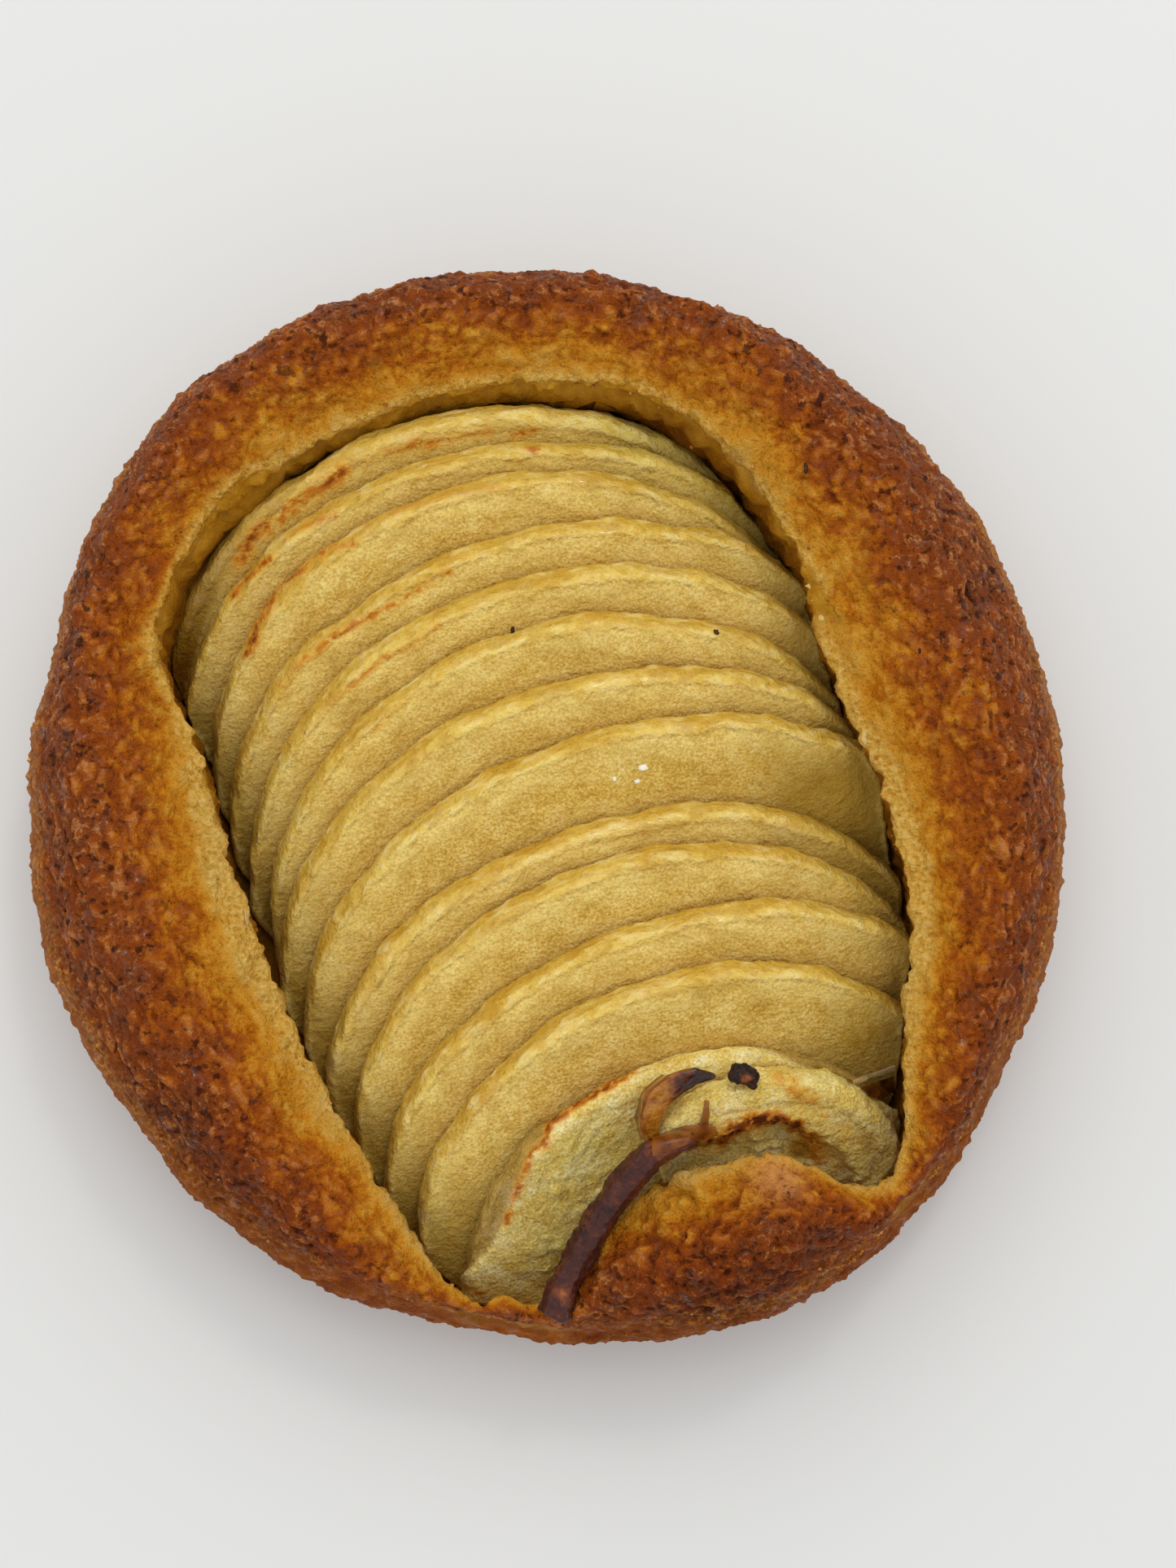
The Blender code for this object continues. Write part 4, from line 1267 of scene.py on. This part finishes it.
def film_mesh(name, lift, left, right):
    bm = bmesh.new()
    lines = []
    for step in range(FILM_STEPS + 1):
        ends = [along_line(line, step / FILM_STEPS) for line in (left, right)]
        line = []
        for across in FILM_SHARES:
            spot = under(tuple(ends[0] + (ends[1] - ends[0]) * across))
            arch = 0.5 + 0.5 * math.sin(math.pi * across)
            line.append(bm.verts.new(Vector(spot + np.array((0.0, 0.0, lift * arch))) * MM))
        lines.append(line)
    for here, ahead in zip(lines, lines[1:]):
        for number in range(len(here) - 1):
            bm.faces.new((here[number], here[number + 1], ahead[number + 1], ahead[number]))
    bmesh.ops.recalc_face_normals(bm, faces=bm.faces)
    if sum(face.normal.z for face in bm.faces) < 0:
        bmesh.ops.reverse_faces(bm, faces=bm.faces)
    smooth = ("SMOOTH", {"factor": 0.5, "iterations": 4})
    thick = ("SOLIDIFY", {"thickness": FILM_THICKNESS * MM, "offset": 1.0})
    finer = ("SUBSURF", {"levels": 1, "render_levels": 1})
    mesh = with_modifiers(mesh_of(bm, name), smooth, thick, finer)
    points = places(mesh)
    put_places(mesh, points + normals_of(mesh) * (hills(points, 1.2, 2, 51.0) * 0.06)[:, None])
    return mesh


def juice_skin_or_shade_film(name, thin, thick, alpha):
    """Dried juice, or a dark film that stands as painted shade: smooth, coloured and partly
    see-through.
    """
    made = Finish(name)
    made.colour = made.ramp(made.noise(1.2, 3.0), ((0.35, thin), (0.65, thick)))
    waves = made.bump(made.noise(0.8), 0.15, 0.6)
    return made.done({"Normal": waves, "Roughness": 0.18, "IOR": 1.45, "Alpha": alpha})


film_finishes = {
    "amber": juice_skin_or_shade_film("amber_juice_skin", "#A8601A", "#6E3410", 0.6),
    "clear": juice_skin_or_shade_film("pale_juice_skin", "#E8D2A0", "#D0A860", 0.45),
    "dark": juice_skin_or_shade_film("dark_hollow_shade_film", "#6A3A0C", "#3C1E06", 0.9),
}
for name, finish, lift, left, right in FILMS:
    show(name, film_mesh(name, lift, left, right), film_finishes[finish])

# %% [markdown]
# ## Specks, sugar and flakes
# A few single bits can be named one by one: black specks on the apple, grains of sugar, and pale
# flakes on the lip. Each is a small ball, squashed and dented by noise, set where its pixel points.

# %% Bits
BITS = (  # finish, pixel, half sizes in millimetres
    ("dark", (630, 775), (0.22, 0.38, 0.14)),
    ("dark", (880, 777), (0.3, 0.3, 0.2)),
    ("dark", (990, 575), (0.22, 0.6, 0.14)),
    ("dark", (423, 530), (0.14, 0.14, 0.1)),
    ("dark", (1130, 800), (0.15, 0.3, 0.1)),
    ("sugar", (790, 943), (0.5, 0.35, 0.25)),
    ("sugar", (783, 960), (0.3, 0.25, 0.2)),
    ("sugar", (755, 957), (0.2, 0.3, 0.15)),
    ("pale", (240, 690), (0.7, 0.35, 0.2)),
    ("pale", (357, 578), (0.8, 0.4, 0.2)),
    ("pale", (545, 488), (1.2, 0.35, 0.2)),
    ("pale", (620, 478), (1.0, 0.3, 0.2)),
    ("pale", (1000, 720), (0.8, 0.35, 0.25)),
    ("pale", (1010, 760), (0.4, 0.5, 0.3)),
    ("pale", (1062, 905), (0.3, 0.8, 0.3)),
)
BIT_CHAR = 0.6


def bit_mesh(name, pixel, halves, seed):
    bm = bmesh.new()
    bmesh.ops.create_icosphere(bm, subdivisions=4, radius=1.0)
    middle = under(pixel)
    for vertex in bm.verts:
        swell = 1 + 0.35 * noise.fractal(vertex.co * 1.3 + Vector((seed, 0, 0)), 1.0, 2.0, 3)
        shape = vertex.co * swell
        vertex.co = (Vector(middle) + Vector(a * b for a, b in zip(shape, halves))) * MM
    mesh = mesh_of(bm, name)
    keep(mesh, "char", np.full(len(mesh.vertices), BIT_CHAR))
    return mesh


def sugar_grain():
    """Coarse sugar: nearly white, glossy, and lit from within."""
    made = Finish("sugar_crystal")
    made.colour = made.ramp(made.noise(0.3), ((0.3, "#F2E8CC"), (0.7, "#FFFBEE")))
    return made.done({"Roughness": 0.2, "Subsurface Weight": 0.4, "Subsurface Scale": 0.5 * MM})


bit_finishes = {
    "dark": burnt("charred_speck", CHAR_COLOURS, 0.6, 0.1),
    "sugar": sugar_grain(),
    "pale": burnt("pale_flake", ((0.3, "#E8CE92"), (0.7, "#D4AC5C")), 0.6, 0.0, 0.3),
}
for number, (finish, pixel, halves) in enumerate(BITS):
    name = f"bit_{finish}_{number:02d}"
    show(name, bit_mesh(name, pixel, halves, 3.0 * number), bit_finishes[finish])

# %% [markdown]
# ## Crumbs by Geometry Nodes
# Crumbs cling to the ledge and the lip. Geometry Nodes scatter points over the crust, most of them
# where a weight says so, put a small rough grain on each, turn and size it by chance, and make it
# all one real mesh. The seed is fixed, so the crumbs never move.

# %% Crumbs
CRUMB_SIZE = 0.42
CRUMBS_PER_MM2 = 1.1
CRUMB_SEED = 7
CRUMB_COLOURS = ((0.3, "#8E4A16"), (0.5, "#B87226"), (0.7, "#D8A650"))
FULL_TURNS = (6.28, 6.28, 6.28)


def crumb_tree(inputs):
    """A tree that scatters grains over a mesh, and its inputs' values by their identifiers."""
    tree = bpy.data.node_groups.new("scatter_crumbs", "GeometryNodeTree")
    face = tree.interface
    face.new_socket("Crust", in_out="INPUT", socket_type="NodeSocketGeometry")
    values = {}
    for label, (kind, value) in inputs.items():
        values[face.new_socket(label, in_out="INPUT", socket_type=kind).identifier] = value
    face.new_socket("Crumbs", in_out="OUTPUT", socket_type="NodeSocketGeometry")
    inlet = add(tree, "NodeGroupInput").outputs
    seed = {"Seed": inlet["Seed"]}

    def made(kind, output, inputs, **settings):
        return add(tree, kind, inputs, **settings).outputs[output]

    stored = {"Name": "crumbly"}
    weight = made("GeometryNodeInputNamedAttribute", "Attribute", stored, data_type="FLOAT")
    density = maths(tree, "MULTIPLY", weight, inlet["Density"])
    on_crust = {"Mesh": inlet["Crust"], "Density": density, **seed}
    points = made("GeometryNodeDistributePointsOnFaces", "Points", on_crust)
    ball = made("GeometryNodeMeshIcoSphere", "Mesh", {"Radius": 0.5, "Subdivisions": 2})
    dents = made("ShaderNodeTexNoise", "Color", {"Scale": 2.2, "Detail": 2.0})
    halves = {0: dents, 1: (0.5, 0.5, 0.5)}
    shift = made("ShaderNodeVectorMath", "Vector", halves, operation="SUBTRACT")
    grain = made("GeometryNodeSetPosition", "Geometry", {"Geometry": ball, "Offset": shift})
    turns = {0: (0.0, 0.0, 0.0), 1: FULL_TURNS, **seed}
    turn = made("FunctionNodeRandomValue", 0, turns, data_type="FLOAT_VECTOR")
    share = made("FunctionNodeRandomValue", 1, {2: 0.35, 3: 1.3, **seed}, data_type="FLOAT")
    size = maths(tree, "MULTIPLY", share, inlet["Size"])
    each = {"Points": points, "Instance": grain, "Rotation": turn, "Scale": size}
    grains = made("GeometryNodeInstanceOnPoints", "Instances", each)
    real = made("GeometryNodeRealizeInstances", "Geometry", {"Geometry": grains})
    finished = {"Geometry": real, "Material": inlet["Finish"]}
    dressed = made("GeometryNodeSetMaterial", "Geometry", finished)
    add(tree, "NodeGroupOutput", {"Crumbs": dressed})
    return tree, values


def crumb_finish():
    """Loose baked dough: dry and matt, from brown to straw."""
    made = Finish("baked_crumb")
    made.colour = made.ramp(made.noise(1.5), CRUMB_COLOURS)
    rough = made.bump(made.noise(0.25), 0.1, 0.8)
    return made.done({"Normal": rough, "Roughness": 0.6, "Specular IOR Level": 0.15})


points = places(crust)
_, from_lip, from_outline = ring_place(points)
clumps = step_up(hills(points, 3.0, 2, 61.0), -0.1, 0.5)
edge_crumbs = ledge * step_up(-from_outline, -4.0, -0.5)
lip_crumbs = bell((from_lip - 0.5) / 0.8) * step_up(points[:, 2], 15.0, 17.0) * 0.25
high_enough = step_up(points[:, 2], 2.0, 4.0)
keep(crust, "crumbly", (edge_crumbs + lip_crumbs) * clumps * high_enough)
crumb_paint = crumb_finish()
crumb_nodes, crumb_values = crumb_tree({
    "Density": ("NodeSocketFloat", CRUMBS_PER_MM2 / MM**2),
    "Size": ("NodeSocketFloat", CRUMB_SIZE * MM),
    "Seed": ("NodeSocketInt", CRUMB_SEED),
    "Finish": ("NodeSocketMaterial", crumb_paint),
})
crumbs = with_modifiers(crust, ("NODES", {"node_group": crumb_nodes, **crumb_values}))
show("crumbs", crumbs, crumb_paint)
